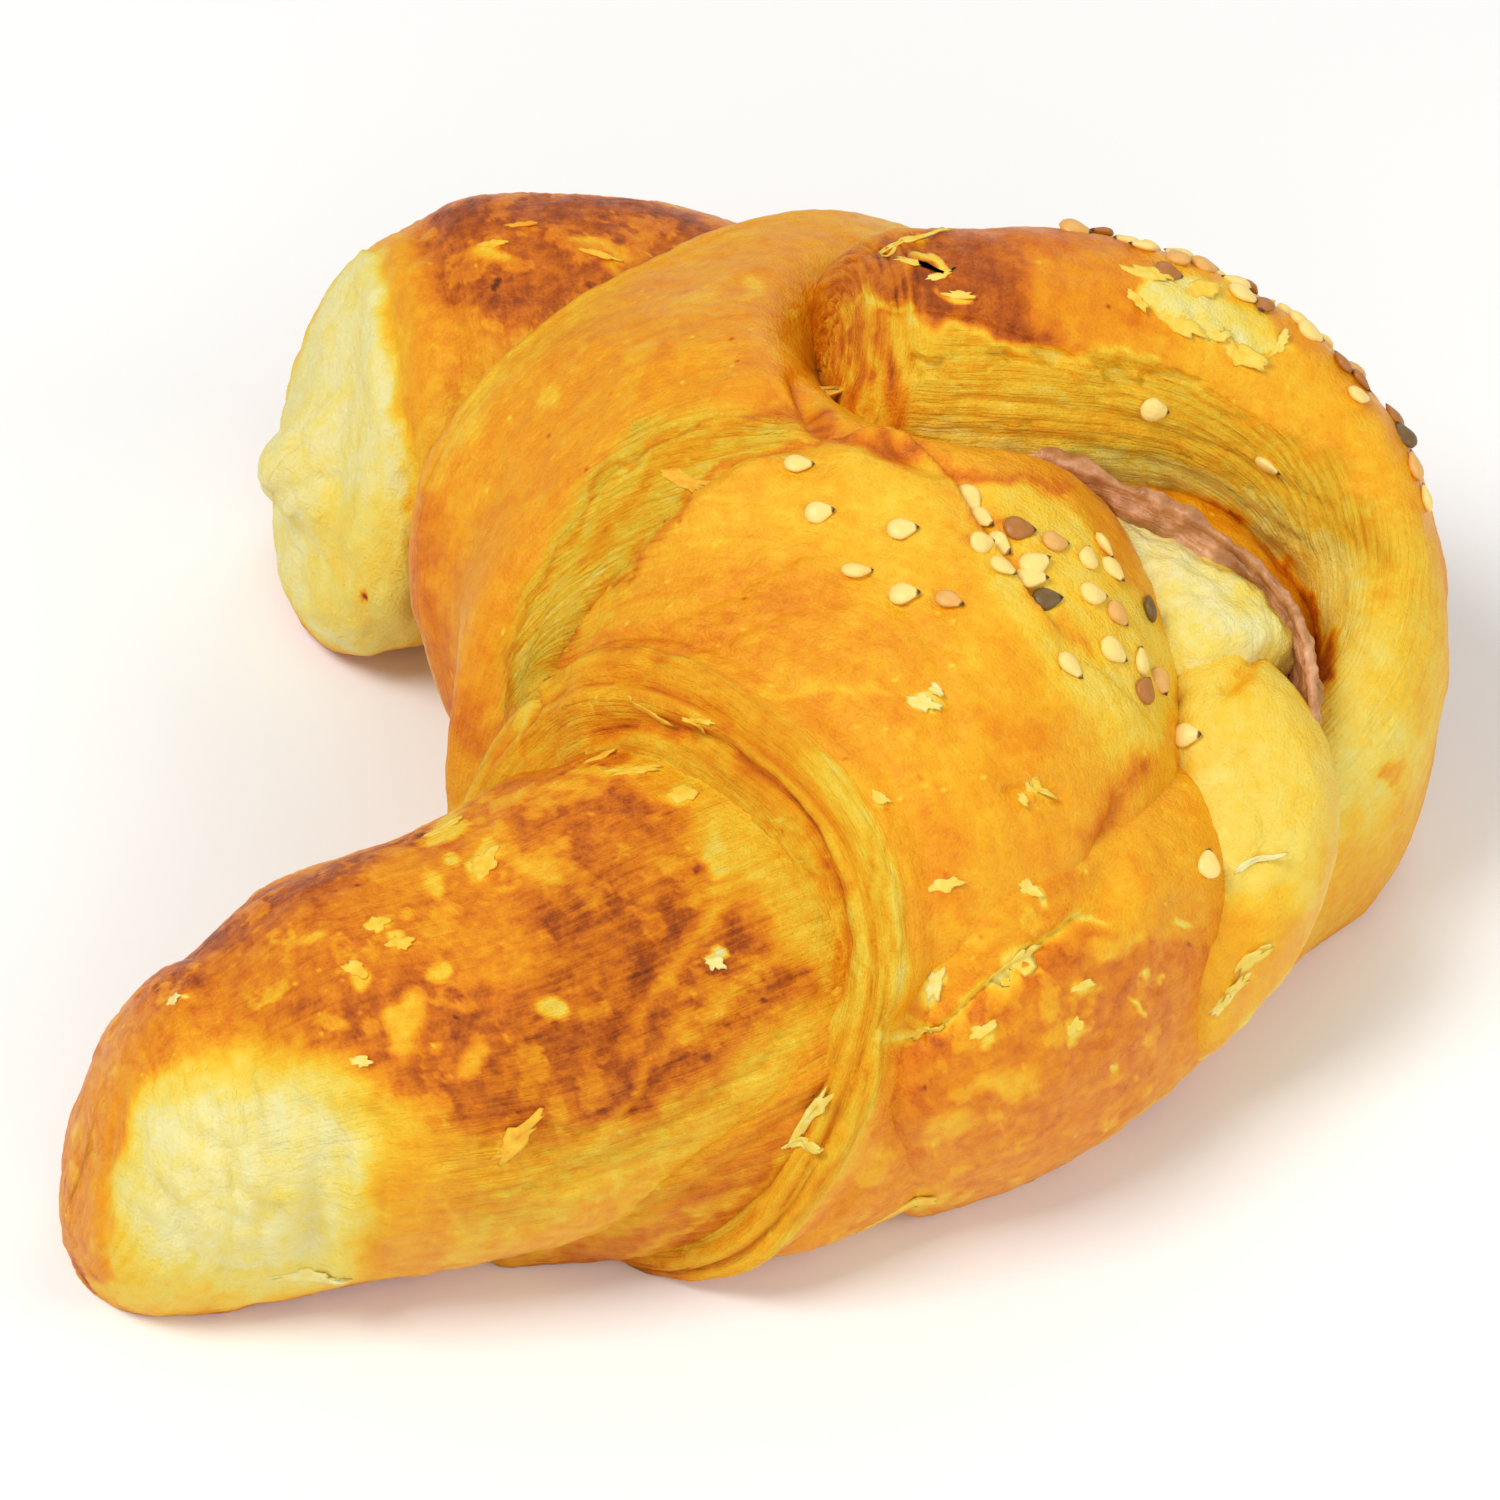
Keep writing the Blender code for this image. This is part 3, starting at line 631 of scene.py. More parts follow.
# Zones of each form, read off the photograph's pixels:
# (what, value, share, how soft its edge is, corners).
# A few zones are painted shade; each is marked where it stands.
COLOUR_AND_SHADE_ZONES = {
    "roll": (
        ("bake", 0.55, 0.8, 50, ((490, 770), (430, 700), (418, 600), (416, 543), (428, 497), (485, 413),
         (573, 317), (642, 271), (718, 237), (810, 215), (800, 330), (783, 412), (700, 405), (620, 440),
         (560, 510), (520, 600), (500, 700))),
        ("rings", 0.12, 0.9, 40, ((490, 770), (430, 700), (418, 600), (416, 543), (428, 497),
         (485, 413), (573, 317), (642, 271), (718, 237), (870, 213), (783, 412), (700, 405), (620, 440),
         (560, 510), (520, 600), (500, 700))),
        ("bake", 0.28, 0.8, 26, SLOPE),
        ("rings", 1.0, 0.9, 30, SLOPE),
        ("bake", 0.33, 0.7, 60, ((818, 440), (904, 446), (944, 473), (960, 560), (900, 620), (820, 560),
         (740, 560), (700, 540), (760, 480))),
        ("bake", 0.2, 0.8, 30, ((944, 473), (1014, 473), (1051, 489), (1127, 581), (1185, 645),
         (1182, 691), (1136, 767), (1080, 760), (1050, 680), (980, 600))),
        ("bake", 0.6, 0.85, 60, BESIDE_BELLY),
        ("crisp", 0.9, 0.85, 60, BESIDE_BELLY),
        ("bake", 0.58, 0.7, 40, ((690, 610), (820, 590), (870, 690), (800, 750), (700, 720))),
        ("bake", 0.5, 0.7, 60, ((860, 660), (1000, 640), (1090, 720), (1090, 905), (960, 1000),
         (900, 980), (880, 860), (840, 760))),
    ),
    "heart": (
        # The heart, where it shows behind the ham, is painted dark brown as shade.
        ("bake", 0.8, 0.9, 20, ((1060, 440), (1360, 440), (1400, 800), (1200, 800))),
    ),
    "front_arm": (
        ("bake", 0.69, 0.8, 60, ((520, 765), (330, 850), (230, 905), (150, 950), (130, 1010),
         (190, 1040), (260, 1010), (330, 985), (430, 950), (540, 900), (600, 930), (690, 860),
         (700, 800), (650, 770))),
        ("bake", 0.81, 0.85, 60, ((240, 1010), (430, 950), (600, 880), (740, 900), (800, 1000),
         (660, 1110), (520, 1160), (430, 1130), (360, 1060))),
        ("bake", 0.24, 0.9, 40, PALE_TIP),
        ("bake", 0.52, 0.8, 50, ((380, 1130), (440, 1120), (560, 1150), (540, 1230), (420, 1290),
         (360, 1290))),
        ("bake", 0.0, 0.85, 60, ((125, 1120), (200, 1085), (290, 1078), (350, 1092), (375, 1150),
         (362, 1220), (335, 1275), (250, 1290), (160, 1275), (118, 1225))),
        ("crisp", 0.1, 0.9, 40, PALE_TIP),
        ("gloss", 0.15, 0.9, 40, ((100, 1090), (240, 1050), (360, 1060), (400, 1160), (370, 1300),
         (90, 1290))),
        ("bake", 0.6, 0.85, 26, TIP_RIM),
        ("rings", 0.9, 0.9, 26, TIP_RIM),
        ("bake", 0.3, 0.85, 50, ARM_WEDGE),
        ("crisp", 0.3, 0.8, 50, ARM_WEDGE),
        ("grain", 0.9, 0.9, 60, ((540, 880), (700, 800), (830, 880), (845, 1000), (640, 1150),
         (480, 1220), (430, 1150), (520, 1010))),
        ("grain", 1.0, 0.9, 60, ((440, 1180), (560, 1130), (660, 1080), (790, 960), (850, 980),
         (820, 1040), (640, 1160), (480, 1250))),
    ),
    "back_arm": (
        ("bake", 0.85, 0.85, 50, ((425, 195), (550, 175), (650, 190), (730, 245), (640, 300),
         (560, 330), (470, 350), (420, 330))),
        ("bake", 0.52, 0.8, 60, ((385, 260), (430, 300), (540, 340), (470, 420), (440, 520), (430, 660),
         (412, 600), (408, 480), (388, 390))),
        ("bake", 0.4, 0.7, 50, ((410, 440), (470, 400), (440, 480), (425, 560), (430, 660),
         (412, 640))),
        ("bake", 0.04, 1.0, 22, BROKEN_END),
        ("bake", 0.2, 0.8, 50, ((330, 500), (400, 500), (430, 660), (360, 650), (310, 600))),
        ("crisp", 0.0, 1.0, 22, BROKEN_END),
        ("gloss", 0.1, 1.0, 22, BROKEN_END),
    ),
    "belly": (
        ("bake", 0.68, 0.8, 80, ((880, 1040), (1000, 960), (1090, 900), (1190, 900), (1240, 990),
         (1180, 1060), (1040, 1150), (900, 1180), (850, 1180))),
        ("bake", 0.46, 0.9, 30, BELLY_TOP),
        ("crisp", 0.4, 0.9, 30, BELLY_TOP),
        ("bake", 0.6, 0.7, 50, ((880, 1160), (1040, 1140), (1180, 1060), (1250, 1000), (1290, 980),
         (1180, 1120), (1040, 1200), (860, 1260))),
    ),
    "under_layer": (
        # Both zones are darker partly as the layer's own bake and partly as painted shade where it lies
        # low and overhung.
        ("bake", 0.5, 0.9, 30, ((470, 1240), (590, 1180), (700, 1120), (800, 1050), (840, 1010),
         (860, 1040), (760, 1130), (640, 1200), (520, 1262))),
        ("bake", 0.74, 0.8, 36, ((560, 1262), (660, 1215), (760, 1150), (850, 1060), (880, 1100),
         (850, 1200), (760, 1280), (600, 1280))),
    ),
    "tongue": (
        ("bake", 0.6, 0.9, 26, TONGUE_TOP),
        ("grain", 0.0, 0.9, 26, TONGUE_TOP),
        ("gloss", 0.9, 0.9, 26, ((860, 225), (960, 205), (1100, 225), (1250, 255), (1340, 310),
         (1400, 390), (1445, 530), (1420, 530), (1300, 440), (1150, 360), (950, 330), (880, 290))),
        ("grain", 1.0, 0.9, 30, ((880, 300), (950, 335), (1050, 355), (1150, 365), (1230, 405),
         (1300, 445), (1380, 505), (1400, 560), (1340, 560), (1230, 530), (1100, 480), (945, 470),
         (850, 440), (830, 380))),
        ("bake", 0.9, 0.8, 30, ((870, 232), (960, 222), (1010, 250), (1050, 330), (1040, 348),
         (950, 326), (885, 300), (860, 270))),
        ("bake", 0.38, 0.85, 60, ((1150, 240), (1260, 258), (1345, 310), (1400, 385), (1445, 520),
         (1420, 530), (1380, 500), (1300, 440), (1230, 400), (1170, 370))),
        ("bake", 0.34, 0.9, 36, ((890, 320), (1050, 360), (1150, 375), (1300, 450), (1370, 510),
         (1330, 520), (1180, 440), (1050, 430), (960, 420), (880, 400))),
        ("bake", 0.17, 0.95, 36, ((920, 425), (960, 420), (1050, 440), (1180, 455), (1300, 510),
         (1370, 560), (1400, 650), (1400, 760), (1330, 830), (1345, 700), (1290, 580), (1180, 500),
         (1000, 475), (900, 455))),
        ("bake", 0.26, 0.8, 60, ((1380, 500), (1430, 540), (1460, 620), (1460, 700), (1430, 780),
         (1340, 880), (1320, 820), (1350, 700), (1400, 600))),
        ("bake", 0.12, 0.8, 60, ((1300, 700), (1350, 690), (1420, 740), (1390, 820), (1320, 880),
         (1290, 840))),
        ("bake", 0.4, 0.8, 60, ((1220, 900), (1320, 840), (1400, 800), (1350, 900), (1300, 960),
         (1230, 1020), (1190, 980))),
        ("bake", 0.74, 0.9, 22, ((965, 215), (880, 228), (848, 280), (806, 330), (790, 370), (810, 425),
         (850, 445), (905, 455), (900, 380), (880, 320), (895, 280), (930, 250))),
        ("rings", 1.0, 0.9, 22, ((960, 220), (880, 228), (848, 280), (806, 330), (790, 370), (810, 425),
         (850, 445), (905, 455), (900, 380), (880, 320), (895, 280), (930, 250))),
        ("bake", 0.72, 0.85, 24, ((912, 240), (875, 250), (850, 282), (808, 330), (792, 370),
         (808, 425), (850, 445), (915, 458), (888, 410), (872, 360), (880, 310), (900, 270))),
        ("bake", 0.08, 0.95, 8, ((1136, 300), (1150, 268), (1210, 285), (1250, 262), (1262, 300),
         (1287, 345), (1262, 368), (1235, 352), (1210, 330), (1170, 318))),
    ),
    "inner_fold": (
        ("bake", 0.04, 0.9, 30, ((1090, 480), (1210, 520), (1230, 600), (1180, 600), (1120, 540))),
    ),
    "outer_fold": (
        ("bake", 0.19, 0.8, 26, ((1140, 540), (1195, 570), (1215, 620), (1215, 700), (1205, 780),
         (1190, 860), (1150, 880), (1120, 700))),
        ("bake", 0.46, 0.85, 50, ((1180, 890), (1240, 870), (1340, 850), (1330, 930), (1250, 1080),
         (1160, 1100))),
        ("bake", 0.14, 0.8, 50, ((1200, 760), (1230, 700), (1320, 760), (1320, 900), (1200, 900))),
        ("bake", 0.22, 0.8, 40, ((1190, 560), (1290, 590), (1330, 680), (1330, 840), (1280, 800),
         (1230, 690))),
    ),
}

# Streaks of colour: (bake, share, half width in pixels, line).
# Some streaks are painted shade along contact lines and under overhangs; each is marked where it stands.
COLOUR_AND_SHADE_STREAKS = {
    "roll": (
        (0.72, 0.8, 22, ((430, 520), (422, 600), (436, 690), (470, 745))),
        (0.3, 0.6, 7, ((508, 374), (470, 405), (447, 443), (431, 478))),
        (0.66, 0.8, 14, ((560, 660), (653, 657), (730, 625), (795, 592))),
        (0.64, 0.7, 12, ((700, 640), (760, 636), (836, 590))),
        (0.28, 0.6, 5, ((760, 690), (861, 679), (895, 691))),
        (0.66, 0.6, 10, ((590, 560), (660, 470), (760, 420))),
        # Painted shade cast by the tongue's tip on the roll.
        (0.7, 0.7, 12, ((770, 400), (800, 420), (860, 440), (940, 470))),
        (0.74, 0.8, 14, ((1080, 905), (1100, 870), (1098, 835), (1132, 772))),
        (0.76, 0.7, 5, UPPER_LIP),
        (0.68, 0.6, 5, LOWER_LIP),
        # Painted shade under the tongue's lower edge, where it lies on the roll.
        (0.78, 0.85, 9, ((798, 375), (812, 420), (850, 444), (900, 459), (945, 476), (1000, 478),
         (1060, 486))),
        # Painted shade under the raised edge of the hump, where it overlaps the right lobe.
        (0.8, 0.7, 6, ((820, 448), (870, 446), (904, 454), (950, 482), (984, 529))),
        (0.78, 0.7, 4, ((1100, 922), (1075, 925), (1056, 940), (1010, 980), (945, 1034))),
        (0.62, 0.6, 10, ((905, 440), (950, 470), (984, 529), (1036, 600), (1080, 645))),
        (0.12, 0.95, 6, ((1105, 912), (1075, 913), (1054, 929), (1031, 944), (1004, 967), (939, 1024),
         (889, 1038))),
        # Painted shade along the line where the front arm meets the roll's rim.
        (0.8, 0.8, 9, ((600, 733), (645, 718), (717, 741), (773, 780), (812, 830), (835, 888),
         (843, 940), (836, 994))),
    ),
    "front_arm": (
        (0.9, 0.8, 20, ((150, 985), (235, 920), (340, 868), (440, 815))),
        (0.84, 0.6, 10, ((740, 930), (690, 990), (650, 1050), (600, 1100))),
        (0.8, 0.6, 9, ((600, 1010), (560, 1060), (500, 1110))),
        (0.34, 0.6, 9, ((720, 900), (676, 960), (640, 1030))),
        (0.34, 0.6, 8, ((790, 950), (726, 1000), (672, 1050), (600, 1130))),
        (0.88, 0.75, 15, LEFT_PLEAT),
        (0.86, 0.75, 13, RIGHT_PLEAT),
        (0.82, 0.7, 11, ((771, 915), (710, 969), (664, 1023))),
        (0.84, 0.7, 30, ((540, 800), (600, 790), (665, 815))),
        (0.86, 0.6, 22, ((575, 840), (600, 900), (630, 915))),
        (0.34, 0.8, 30, ((824, 1010), (763, 1080), (671, 1140), (557, 1200), (470, 1245))),
        (0.4, 0.6, 26, ((560, 1160), (470, 1180), (430, 1160))),
        (0.96, 0.8, 7, ((63, 1262), (86, 1276))),
        (0.3, 0.5, 8, ((640, 760), (590, 790), (520, 800))),
        # Painted shade along the line where the arm meets the roll's rim.
        (0.8, 0.7, 6, ((645, 724), (717, 745), (771, 784), (809, 833), (832, 890), (840, 940),
         (832, 992))),
    ),
    "back_arm": (
        (0.35, 0.7, 6, ((577, 240), (610, 252), (646, 275))),
        (0.3, 0.7, 7, ((480, 240), (505, 248))),
        (0.9, 0.6, 14, ((440, 215), (550, 195), (640, 205), (700, 240))),
    ),
    "belly": (
        (0.24, 0.9, 14, ((872, 1222), (905, 1208), (939, 1196))),
        (0.14, 0.9, 6, CRACK),
        (0.74, 0.6, 12, ((1110, 935), (1060, 960), (1000, 1000), (900, 1070))),
    ),
    "under_layer": (
        (0.28, 0.6, 5, ((620, 1262), (760, 1190), (850, 1090))),
        (0.7, 0.6, 6, ((560, 1240), (700, 1170), (830, 1070))),
    ),
    "tongue": (
        (0.86, 0.8, 10, ((893, 307), (975, 298), (1040, 333))),
        (0.26, 0.7, 5, ((880, 300), (868, 340), (872, 390), (880, 430))),
        (0.28, 0.6, 5, ((862, 290), (846, 335), (850, 385), (856, 430))),
        (0.3, 0.6, 4, ((840, 300), (826, 345), (828, 385), (836, 425))),
        (0.2, 0.7, 6, ((870, 292), (950, 332), (1050, 352), (1150, 364))),
        (0.76, 0.7, 14, ((960, 228), (1060, 240), (1150, 245))),
        # Browner crust along the tip's lower edge, and partly painted shade where the tip lies on the
        # roll.
        (0.92, 0.85, 14, ((802, 370), (812, 412), (850, 436), (905, 452))),
        (0.62, 0.5, 16, ((1240, 290), (1330, 350), (1400, 440))),
    ),
    "outer_fold": (
        (0.44, 0.7, 10, ((1190, 560), (1240, 590), (1300, 620))),
        (0.5, 0.7, 9, ((1310, 610), (1270, 650), (1230, 680))),
    ),
}

# Spots of colour: (bake, share, x, y, half length, half width, turn in degrees).
SPOTS = {
    "roll": (
        (0.3, 0.7, 546, 390, 16, 10, -40), (0.32, 0.7, 753, 286, 10, 8, 0),
        (0.34, 0.6, 825, 282, 12, 9, 0), (0.3, 0.6, 795, 313, 8, 6, 0),
        (0.14, 0.9, 925, 703, 13, 8, 20), (0.2, 0.9, 879, 798, 9, 6, 40),
        (0.22, 0.9, 1036, 792, 14, 5, 15), (0.34, 0.6, 610, 640, 20, 8, -40),
        (0.62, 0.6, 1010, 730, 40, 18, 20), (0.6, 0.6, 940, 860, 34, 50, 0),
        (0.35, 0.6, 690, 300, 22, 8, -30), (0.34, 0.6, 640, 350, 18, 9, -40),
    ),
    "front_arm": (
        (0.26, 0.8, 400, 1025, 17, 27, 10), (0.22, 0.9, 545, 1004, 14, 14, 0),
        (0.5, 0.5, 499, 954, 50, 30, 0), (0.55, 0.7, 407, 874, 40, 26, -20),
        (0.2, 0.9, 377, 924, 12, 12, 0), (0.22, 0.9, 354, 970, 14, 9, 30),
        (0.22, 0.9, 400, 943, 12, 8, 0), (0.24, 0.8, 442, 973, 9, 12, 0),
        (0.2, 0.9, 446, 828, 20, 9, -30), (0.2, 0.9, 484, 866, 12, 20, 20),
        (0.22, 0.9, 453, 855, 10, 8, 0), (0.24, 0.8, 434, 885, 9, 12, 10),
        (0.22, 0.8, 633, 770, 26, 7, 10), (0.22, 0.8, 683, 793, 14, 12, 0),
        (0.2, 0.8, 717, 854, 9, 14, 0), (0.04, 1.0, 174, 1000, 7, 5, 0),
        (0.04, 1.0, 715, 963, 8, 7, 0), (0.92, 0.7, 622, 906, 18, 12, 0),
        (0.3, 0.8, 320, 940, 18, 8, -30), (0.34, 0.7, 270, 985, 16, 9, -20),
        (0.36, 0.6, 540, 870, 22, 10, 20), (0.3, 0.7, 590, 770, 20, 6, 5),
        (0.3, 0.6, 470, 1060, 14, 18, 20), (0.34, 0.6, 330, 1020, 20, 10, 0),
    ),
    "back_arm": (
        (0.98, 1.0, 497, 283, 5, 4, 0), (0.98, 1.0, 587, 281, 5, 4, 0), (0.95, 1.0, 368, 595, 4, 5, 0),
        (0.92, 0.9, 567, 307, 4, 12, 30), (0.3, 0.7, 493, 244, 16, 6, 20),
        (0.4, 0.6, 470, 400, 12, 20, 20),
    ),
    "belly": (
        (0.16, 0.9, 945, 884, 14, 8, -20), (0.14, 0.9, 1031, 890, 12, 7, 30),
        (0.1, 0.95, 936, 983, 9, 15, 10), (0.2, 0.9, 1082, 986, 14, 6, -10),
        (0.18, 0.9, 1076, 1027, 10, 10, 0), (0.18, 0.9, 983, 1030, 12, 7, -30),
        (0.97, 0.9, 1208, 1050, 4, 3, 0), (0.97, 0.9, 925, 1079, 3, 3, 0),
        (0.04, 0.9, 982, 882, 4, 3, 0), (0.04, 0.9, 1156, 967, 5, 4, 0),
        (0.04, 0.9, 1133, 1004, 4, 4, 0), (0.04, 0.9, 1113, 1073, 4, 4, 0),
        (0.04, 0.9, 1183, 921, 4, 4, 0), (0.28, 0.7, 1010, 1080, 30, 14, -20),
        (0.3, 0.7, 1120, 940, 26, 10, -20), (0.3, 0.7, 950, 1130, 26, 12, -20),
    ),
    "tongue": (
        (0.5, 0.8, 1390, 777, 14, 12, 0), (0.16, 0.9, 910, 240, 26, 5, -10),
        (0.16, 0.9, 930, 265, 22, 5, 20), (0.18, 0.9, 960, 295, 14, 4, 0),
        (0.92, 0.7, 895, 243, 24, 10, -10), (0.16, 0.9, 1240, 960, 16, 6, -40),
        (0.14, 0.9, 1232, 995, 8, 18, 10), (0.66, 0.7, 1215, 960, 14, 40, 10),
    ),
}

# Grooves (negative) and ridges: (height in mm, half width in pixels, line).
FURROWS = {
    "roll": (
        (-0.5, 6, ((560, 660), (600, 600), (660, 530), (740, 470), (814, 447))),
        (-0.35, 5, ((520, 700), (545, 610), (590, 520), (650, 450), (730, 415))),
        (-0.3, 4, ((540, 720), (570, 640), (620, 560), (690, 490), (760, 455))),
        (-0.7, 6, ((1010, 790), (1036, 786), (1060, 800))),
        (-0.9, 9, ((1120, 805), (1100, 850), (1098, 895))),
        (-1.2, 10, ((800, 380), (812, 424), (850, 447), (900, 462), (945, 478))),
        (-1.3, 10, ((600, 735), (645, 720), (717, 743), (771, 782), (809, 831), (832, 889), (840, 938),
         (832, 992), (809, 1030), (763, 1072), (710, 1111))),
        (0.35, 9, ((700, 500), (680, 480), (655, 486))),
        (-0.4, 9, ((860, 560), (930, 640), (960, 740))),
        (-0.25, 5, ((640, 640), (720, 600), (800, 560), (880, 550))),
        (-0.25, 5, ((600, 690), (700, 650), (790, 610), (860, 600))),
    ),
    "front_arm": (
        (-0.45, 8, LEFT_PLEAT),
        (-0.4, 7, RIGHT_PLEAT),
        (0.5, 9, ((338, 1100), (358, 1161), (350, 1220), (338, 1276))),
        (-0.5, 12, ((300, 1110), (318, 1170), (310, 1240))),
        (-0.4, 12, ((180, 1130), (230, 1160), (270, 1220))),
        (0.3, 10, ((150, 1160), (200, 1210), (240, 1260))),
        (0.45, 9, ((262, 1080), (272, 1130), (262, 1190), (276, 1262))),
        (-0.5, 8, ((205, 1090), (222, 1140), (236, 1190))),
        (0.4, 8, ((232, 1100), (246, 1150), (250, 1240))),
        (-0.4, 9, ((376, 1120), (390, 1180), (372, 1240))),
        (-0.35, 8, ((140, 1140), (160, 1200), (196, 1262))),
        (0.4, 16, ((400, 1000), (402, 1048))),
        (0.3, 12, ((545, 1000), (545, 1008))),
        (-0.35, 6, ((120, 1100), (104, 1180), (108, 1260))),
        (-0.3, 6, ((560, 1185), (670, 1125), (762, 1065), (826, 990))),
    ),
    "back_arm": (
        (-0.5, 9, ((378, 250), (388, 330), (392, 400), (412, 440), (414, 560), (424, 650))),
        (0.5, 14, ((330, 280), (325, 360), (300, 420))),
        (-0.5, 12, ((352, 300), (350, 380), (330, 450), (335, 560))),
        (0.4, 14, ((300, 500), (330, 530), (370, 560), (400, 620))),
        (-0.5, 12, ((262, 500), (300, 492), (330, 480))),
    ),
    "belly": (
        (-0.6, 6, CRACK),
        (-0.3, 12, ((1180, 900), (1160, 980), (1080, 1060))),
    ),
    "under_layer": (
        (-0.35, 6, ((560, 1250), (700, 1185), (830, 1090))),
        (-0.3, 5, ((520, 1250), (670, 1170), (820, 1060))),
    ),
    "tongue": (
        (-0.5, 6, ((893, 307), (975, 312), (1040, 340), (1150, 372))),
        (0.3, 7, ((870, 288), (950, 326), (1050, 346), (1150, 358), (1230, 398), (1300, 438))),
        (-0.35, 6, ((960, 400), (1100, 410), (1220, 450), (1330, 510))),
        (-0.35, 6, ((920, 430), (1060, 440), (1180, 470), (1300, 540))),
        (-0.9, 12, ((875, 246), (920, 240))),
    ),
    "outer_fold": (
        (-0.6, 9, ((1190, 560), (1240, 585), (1300, 620))),
        (-0.8, 9, ((1315, 605), (1270, 645), (1225, 685))),
        (-0.5, 9, ((1240, 760), (1270, 830), (1250, 880))),
    ),
}

# Raised layer edges: (height in mm, reach in pixels, which side is high, line).
LIPS = {
    "roll": (
        (1.1, 60, 1, UPPER_LIP),
        (0.8, 50, 1, LOWER_LIP),
        (0.3, 40, 1, ((560, 590), (600, 545), (653, 500), (722, 470))),
        (1.7, 60, 1, ((800, 452), (830, 440), (870, 438), (904, 446), (944, 473), (974, 529),
         (1026, 602), (1075, 650))),
        (1.0, 40, 1, CRACK_LIP),
    ),
    "tongue": (
        (0.35, 40, -1, ((1136, 300), (1170, 318), (1210, 330), (1235, 352), (1262, 368), (1287, 345))),
    ),
    "belly": (
        (0.8, 40, 1, CRACK_LIP),
    ),
}

# Where the tongue's underside shows behind the ham: painted shade, dark brown, on the surfaces of the
# tongue, roll and heart that face into the hollow.
HAM_GAP_SHADE = ((1130, 490), (1190, 500), (1240, 525), (1290, 570), (1322, 620), (1334, 690),
           (1310, 690), (1270, 620), (1220, 570), (1160, 520))

# Pores in the tongue's side: x, y and half length in pixels.
PORES = ((1005, 359, 12), (936, 359, 10), (1057, 353, 12), (1170, 381, 14), (1127, 381, 12))


# Fine relief in mm.
BLISTER_HEIGHT = 0.14
PALE_SKIN_HEIGHT = 0.08
RING_HEIGHT = 0.30
GRAIN_HEIGHT = 0.20
PIT_DEPTH = 0.4
WRINKLE_HEIGHT = 0.30
SMALL_WRINKLE_HEIGHT = 0.13
SWELL_HEIGHT = 0.22
ROUGHNESS_HEIGHT = 0.07
FOLD_WRINKLE_HEIGHT = 0.35
PORE_DEPTH = 1.1


def underside_and_top(form):
    """The rules that hold all round: a browned base, a browned far top and broad patches."""
    up = form.normals[:, 2]
    height = form.points[:, 2]
    form.bake += 0.09 * smooth(0.2, 1.0, up) * (1 - smooth(0.0, 0.2, form.facing))
    base = smooth(4.0, 0.5, height)
    form.paint("bake", 0.66, 0.8 * base)
    form.paint("gloss", 0.0, base)
    broad = NOISE.layered(form.points / 11.0, 3)
    fine = OTHER_NOISE.layered(form.points / 3.4, 3)
    form.bake += 0.10 * broad + 0.06 * form.crisp * fine


def mottle(form):
    """Blisters and pale flakes over the crisp crust."""
    points = form.points
    edge = 0.9 * NOISE.layered(points / 2.2 + 9.0, 3)
    away, own = NOISE.cells(points / 4.6)
    size = 0.18 + 0.22 * own
    dome = smooth(size, 0.3 * size, away) * form.crisp * (own > 0.35)
    form.height += BLISTER_HEIGHT * dome
    form.bake -= 0.04 * dome
    islands = smooth(0.42, 0.56, OTHER_NOISE.layered(points / 2.6 + 3.0, 4) + 0.25 * edge)
    islands *= form.crisp * smooth(0.3, 0.6, form.bake)
    form.bake -= 0.17 * islands
    form.height += PALE_SKIN_HEIGHT * islands
    away, own = OTHER_NOISE.cells(points / 1.3)
    dots = smooth(0.2, 0.1, away) * (own > 0.80) * smooth(0.3, 0.5, form.bake)
    form.bake += np.where(own > 0.95, 0.3, -0.3) * dots


def strata(across, run, seed):
    """Terraces of thin layers seen on edge: from -1 in the gaps to 1 on the layers."""
    flat = np.zeros(len(across))
    total = np.zeros(len(across))
    for spacing, share in ((1.5, 0.6), (0.85, 0.4)):
        place = np.stack([across / 7.0, run / 14.0, flat + seed], axis=1)
        phase = across / spacing + 1.3 * NOISE(place) + 0.5 * OTHER_NOISE(place * 3.1)
        step = phase - np.floor(phase)
        broken = 0.6 + 0.4 * NOISE(np.stack([np.floor(phase), run / 6.0, flat + seed], axis=1))
        total += share * broken * (2 * smooth(0.0, 0.35, step) * smooth(1.0, 0.75, step) - 1)
    return total


def laminate(form):
    """Fine layers round the form and along it, pressed into the surface."""
    round_layers = strata(form.along, form.round_it, 3.0)
    line_layers = strata(form.round_it, form.along, 8.0)
    baked = smooth(0.0, 0.35, form.bake)
    form.height += RING_HEIGHT * form.rings * round_layers + GRAIN_HEIGHT * form.grain * line_layers
    form.bake -= baked * (0.14 * form.rings * round_layers + 0.10 * form.grain * line_layers)
    holes = np.stack([form.along / 3.4, form.round_it / 0.9, np.zeros(len(form.along))], axis=1)
    away, own = NOISE.cells(holes)
    pits = smooth(0.42, 0.2, away) * (own > 0.72) * np.maximum(form.grain - 0.55, 0) * 2.2
    form.height -= PIT_DEPTH * pits
    form.bake -= 0.08 * pits


def wrinkle(form):
    """Soft wrinkles where the dough is pale, and a little grain everywhere."""
    pale = smooth(0.30, 0.10, form.bake)
    soft = NOISE.layered(form.points / 4.5 + 20.0, 3)
    fine = OTHER_NOISE.layered(form.points / 1.4 + 20.0, 3)
    form.height += pale * (WRINKLE_HEIGHT * soft + SMALL_WRINKLE_HEIGHT * fine)
    rough = ROUGHNESS_HEIGHT * NOISE.layered(form.points / 1.7, 3)
    form.height += rough + SWELL_HEIGHT * NOISE.layered(form.points / 5.0, 2)


